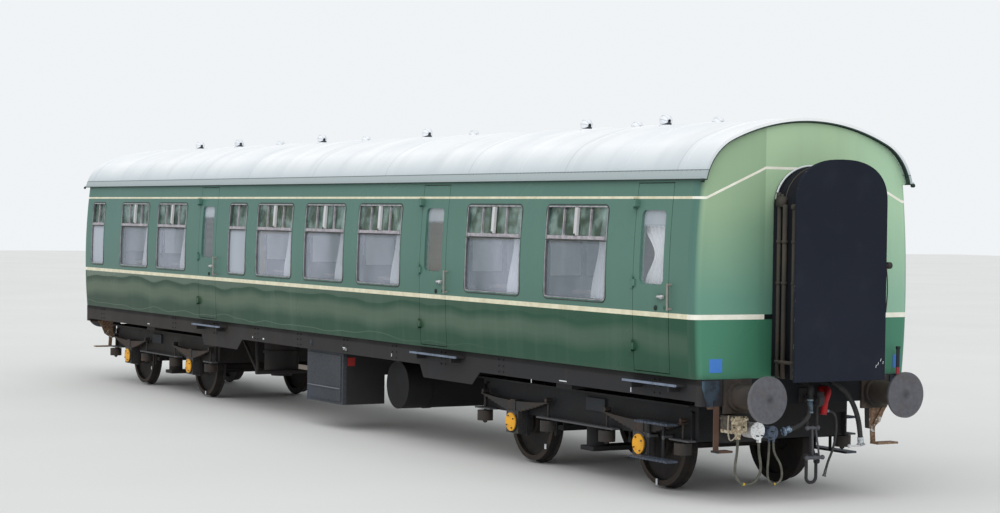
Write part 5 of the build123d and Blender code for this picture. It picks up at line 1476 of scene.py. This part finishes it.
def solebar_rivets():
    places = []
    for side in (-1, 1):
        for x in cross_members:
            for column in (-0.05, 0.05):
                for z in (1.06, 1.13, 1.20):
                    places.append(((x + column, side * 1.300, z + rail_top - 0.02), (0.0, side, 0.0)))
    add_studs("solebar_rivets", places, 0.011, 0.012, 10, "underframe_black")


def gutter_rivets():
    places = []
    count = 230
    share = 0.035
    for side in (-1, 1):
        y, z = roof_y_z(share if side < 0 else 1 - share, 0.001)
        places += [((-8.7 + step * 17.4 / (count - 1), y, z), (0.0, side, 0.1)) for step in range(count)]
    add_studs("roof_edge_rivets", places, 0.006, 0.006, 6, "weathered_roof")


# Small fittings at the near end: sleeve on the vacuum pipe, clamps, ribs and tape
def hose_sleeves():
    x, y = 8.932, -0.080
    # The sleeve's light blue-grey is partly its own colour and partly a painted highlight on the pipe.
    sleeve = [(add_rod, (x, y, 0.918), (x, y, 1.036), 0.0295, 20)]
    build("vacuum_sleeve", "pipe_sleeve_blue", sleeve)
    places = line_points(cord_routes["air_hose"])
    middle = places[1]
    along = (places[2] - places[0]).normalized() * 0.014
    bands = [(add_rod, (x, y, z - 0.007), (x, y, z + 0.007), 0.033, 20) for z in (0.912, 1.034)]
    bands.append((add_box, (x + 0.026, y - 0.012, 0.903), (x + 0.040, y + 0.012, 0.921), 0.003))
    bands.append((add_rod, middle - along, middle + along, 0.0155, 16))
    build("hose_clamps", "hose_sleeve_silver", bands)


def hose_ribs():
    parts = []
    for node, radius in (("steam_hose", 0.0265), ("vacuum_hose", 0.0272)):
        places = line_points(cord_routes[node])
        for index in range(2, len(places) - 2, 2):
            along = (places[index + 1] - places[index - 1]).normalized()
            side = along.orthogonal().normalized()
            ring = ring_places(places[index], side * radius, along.cross(side) * radius, 14)
            parts.append((add_tube, ring, 0.0016, 5, True))
    build("hose_ribs", "cable_rubber", parts)


def cable_tape():
    parts = []
    # Columns: node, radius of the tape, Y where it sits
    for node, radius, aim in (("jumper_cable_left", 0.0150, -0.875), ("jumper_cable_right", 0.0130, -0.484)):
        places = line_points(cord_routes[node])
        near_bottom = [index for index in range(1, len(places) - 1) if places[index].z < 0.30]
        nearest = min(near_bottom, key=lambda index: abs(places[index].y - aim))
        parts.append((add_rod, places[nearest - 1], places[nearest + 1], radius, 16))
    build("cable_tape", "tape_yellow", parts)


# Bright bar across the bottom of the steam hose, and the knobs and side bars of the screw coupling
# Columns: Z, low and high Y, radius, radius of the knobs
coupling_bars = ((0.757, -0.135, -0.001, 0.016, 0.023), (0.455, -0.134, 0.064, 0.018, 0.025))


def hose_bar_and_knobs():
    x, z = 8.885, 0.542
    bar = [
        (add_rod, (x, 0.469, z), (x, 0.634, z), 0.010),
        (add_rod, (x, 0.462, z), (x, 0.482, z), 0.018, 14),
        (add_rod, (x, 0.612, 0.610), (x, 0.604, z), 0.009, 10),
    ]
    build("steam_hose_bar", "window_stay_alloy", bar)
    knobs = []
    x = 8.962
    for z, low, high, radius, knob in coupling_bars:
        knobs.append((add_rod, (x, low, z), (x, high, z), radius, 14))
        knobs += [(add_ball, (x, y, z), knob) for y in (low, (low + high) / 2, high)]
    for start, end in ((-0.075, -0.062), (-0.030, 0.022)):
        places = [(x, start, 0.752), (x + 0.004, (start + end) / 2, 0.60), (x, end, 0.46)]
        knobs.append((add_tube, places, 0.010))
    build("coupling_knobs", "knob_steel", knobs)


# Bolts and the cable cone of the sockets, and the red tab by the battery box
def socket_details():
    bolts = []
    for y, z in ((-0.745, 0.699), (-0.686, 0.700), (-0.560, 0.735), (-0.585, 0.675)):
        bolts.append((add_rod, (8.930, y, z), (8.9665, y, z), 0.007, 10))
    for y in (-1.020, -0.900):
        bolts += [(add_rod, (8.900, y, z), (8.934, y, z), 0.008, 8) for z in (0.79, 0.89)]
    build("socket_bolts", "lock_dark", bolts)
    cone = [(add_rod, (8.895, -0.950, 0.702), (8.895, -0.950, 0.802), 0.030, 20, 0.052)]
    build("socket_cone", "end_fittings_paint", cone)
    tab = [(add_box, (0.783, -1.186, 0.855), (0.789, -1.075, 0.965), 0.002)]
    build("box_tab", "tab_red", tab, smooth=False)


# A small chain that hangs in a loop from the side of the beige box
chain_links = 22
chain_route = (
    (8.900, -1.070, 0.895), (8.893, -1.073, 0.800), (8.905, -1.072, 0.705),
    (8.928, -1.066, 0.655), (8.962, -1.036, 0.688), (8.965, -1.006, 0.735),
)


def box_chain():
    places = line_points(chain_route)
    total = sum((b - a).length for a, b in zip(places, places[1:]))
    spots = []
    walked = 0.0
    for a, b in zip(places, places[1:]):
        run = (b - a).length
        while len(spots) < chain_links and walked + run >= total * len(spots) / chain_links:
            share = (total * len(spots) / chain_links - walked) / run
            spots.append((a + (b - a) * share, (b - a).normalized()))
        walked += run
    links = []
    for index, (middle, along) in enumerate(spots):
        side = Vector((1, 0, 0)) if index % 2 else Vector((0, 1, 0))
        flat = (side - along * side.dot(along)).normalized()
        links.append((add_tube, ring_places(middle, along * 0.011, flat * 0.0065, 16), 0.0028, 6, True))
    build("box_chain", "chain_steel", links)


# White marks on the solebar are thin strips of old paint
# Columns: X, height over the rail tops, length, height of the mark
solebar_marks = (
    (6.216, 1.031, 0.150, 0.012),
    (7.529, 1.044, 0.016, 0.060),
    (5.560, 0.985, 0.012, 0.040),
    (2.225, 1.064, 0.014, 0.040),
    (0.902, 1.076, 0.075, 0.014),
    (0.902, 1.056, 0.020, 0.030),
    (0.960, 1.056, 0.014, 0.030),
    (-1.615, 1.050, 0.045, 0.020),
    (-1.982, 1.054, 0.018, 0.026),
    (-5.959, 1.044, 0.090, 0.014),
)
# Columns: body, X, height over the rail tops, length, height of the mark on the wheel's face
wheel_marks = (
    ("wheelset_near_outer", 7.355, 0.043, 0.030, 0.066),
    ("wheelset_near_inner", 5.135, 0.194, 0.036, 0.056),
    ("wheelset_far_inner", -4.740, 0.043, 0.030, 0.050),
    ("wheelset_far_outer", -6.985, 0.270, 0.026, 0.050),
)


def add_mark(bm, outer, inner, x, z, length, height):
    z += rail_top
    add_box(bm, (x - length / 2, outer, z - height / 2), (x + length / 2, inner, z + height / 2))


def chalk_marks():
    marks = [(add_mark, -1.3022, -1.2992, *mark) for mark in solebar_marks]
    build("solebar_marks", "chalk_white", marks, smooth=False)
    x, z = -0.068, 1.087 + rail_top
    boss = [
        (add_rod, (x, -1.298, z), (x, -1.306, z), 0.046, 24),
        (add_rod, (x, -1.300, z), (x, -1.311, z), 0.030, 24),
    ]
    build("solebar_boss", "plate_bolts", boss)
    for body, *mark in wheel_marks:
        tick = [(add_mark, -0.8425, -0.8385, *mark)]
        build(f"tick_{body}", "chalk_white", tick, body, smooth=False)


def door_furniture():
    """Handles and locks on each door, with the door they belong to."""
    grip_z = 2.020 + rail_top
    lock_z = 1.905 + rail_top
    for side, hand in hands:
        for place, hinge_x in (("near", 7.650), ("middle", 3.070), ("far", -3.800)):
            door = f"door_{hand}_{place}"
            x = hinge_x + 0.525
            pin = x + 0.022
            y = skin_y(grip_z)
            low = (x - 0.046, side * (y + 0.020), grip_z - 0.013)
            high = (x + 0.050, side * (y + 0.046), grip_z + 0.015)
            grip = [
                (add_box, low, high, 0.006),
                (add_rod, (pin, side * (y + 0.002), grip_z), (pin, side * (y + 0.040), grip_z), 0.020, 16),
            ]
            pin = x - 0.112
            y = skin_y(lock_z)
            low = (x - 0.118, side * (y + 0.008), lock_z - 0.020)
            high = (x - 0.106, side * (y + 0.016), lock_z + 0.020)
            lock = [
                (add_rod, (pin, side * (y - 0.004), lock_z), (pin, side * (y + 0.010), lock_z), 0.026, 18),
                (add_box, low, high, 0.002),
            ]
            build(f"door_grip_{hand}_{place}", "window_stay_alloy", grip, door)
            build(f"door_lock_{hand}_{place}", "lock_dark", lock, door)


# Knob at the end of each gutter, and a white line along the top of the bellows that is a painted highlight
def end_trim():
    knobs = []
    lines = []
    for sign in (-1, 1):
        for side in (-1, 1):
            x = sign * 8.790
            y, z = roof_y_z(0.0 if side < 0 else 1.0)
            y += side * 0.012
            z -= 0.006
            knobs.append((add_rod, (x - 0.02, y, z), (x + sign * 0.012, y, z), 0.020))
        # Painted highlight: a white tube along the top edge of the bellows.
        edge = [(sign * 8.800, y, z) for (y, z), out in arch_places(0.004, 0.006, 28)[3:-3]]
        lines.append((add_tube, edge, 0.010))
    build("gutter_knobs", "lock_dark", knobs)
    build("bellows_highlight_line", "chalk_white", lines)


# Channel bars across both ends of each bogie frame
def bogie_end_bars():
    for sign, end in ends:
        parts = []
        for x, facing in ((4.030, 1), (8.160, -1)):
            x *= sign
            web = x - sign * facing * 0.026
            parts.append((add_box, (web - 0.006, -1.000, 0.560), (web + 0.006, 1.000, 0.880), 0.003))
            for z in (0.566, 0.874):
                parts.append((add_box, (x - 0.032, -1.000, z - 0.006), (x + 0.032, 1.000, z + 0.006), 0.003))
            for y in (-0.70, -0.25, 0.25, 0.70):
                parts.append((add_box, (x - 0.028, y - 0.006, 0.568), (x + 0.028, y + 0.006, 0.872)))
        build(f"bogie_end_bars_{end}", "bogie_black", parts, f"bogie_{end}", smooth=False)


# Knob and cord on the far edge of the near gangway plate
def plate_knob():
    x, z = 9.275, 2.365 + rail_top
    drop = [(x, 0.588 + 0.018 * math.sin(math.pi * step / 10), z - 0.02 - 0.045 * step) for step in range(11)]
    parts = [
        (add_rod, (x, 0.560, z), (x, 0.612, z), 0.016),
        (add_rod, (x, 0.596, z), (x, 0.640, z), 0.034, 16),
        (add_tube, drop, 0.006, 6),
    ]
    build("plate_knob", "spring_brown", parts)


def studio():
    bm = bmesh.new()
    bmesh.ops.create_grid(bm, x_segments=1, y_segments=1, size=120.0)
    mesh = bpy.data.meshes.new("studio_floor")
    bm.to_mesh(mesh)
    bm.free()
    finish = Finish("studio_floor_grey")
    finish.base = finish.blend(finish.noise(0.2, 2.0), 0.3, 0.7, (226, 226, 224), (230, 230, 228))
    finish.done(0.9, specular=0.1)
    mesh.materials.append(finish.material)
    ground = new_object("studio_floor", mesh)
    ground.location.z = -0.001

    world = bpy.data.worlds.new("studio_light")
    bpy.context.scene.world = world
    world.use_nodes = True
    tree = world.node_tree
    background = tree.nodes["Background"]
    background.inputs["Color"].default_value = (0.95, 0.98, 1.0, 1.0)
    rays = tree.nodes.new("ShaderNodeLightPath")
    seen = tree.nodes.new("ShaderNodeMapRange")
    seen.inputs["To Min"].default_value = 0.62
    seen.inputs["To Max"].default_value = 0.92
    tree.links.new(rays.outputs["Is Camera Ray"], seen.inputs["Value"])
    tree.links.new(seen.outputs["Result"], background.inputs["Strength"])

    # Columns: name, direction the light comes from, strength, softness in degrees
    suns = (
        ("near_end_light", (1.0, -0.35, 1.1), 1.15, 60.0),
        ("side_light", (-0.1, -1.0, 0.9), 0.55, 60.0),
    )
    for name, direction, strength, softness in suns:
        data = bpy.data.lights.new(name, "SUN")
        data.energy = strength
        data.angle = math.radians(softness)
        lamp = new_object(name, data)
        lamp.rotation_euler = Vector(direction).to_track_quat("Z", "Y").to_euler()


window_rubbers()
window_stays()
roof_ventilators()
roof_end_shadow_line()
seats()
bellows()
gangway_bars()
face_plates()
roof_strips()
blue_plates()
curtains()
axlebox_rings()
solebar_rivets()
gutter_rivets()
hose_sleeves()
hose_ribs()
cable_tape()
hose_bar_and_knobs()
socket_details()
box_chain()
bogie_end_bars()
chalk_marks()
door_furniture()
end_trim()
plate_knob()
studio()

bpy.context.scene.view_settings.view_transform = "Standard"
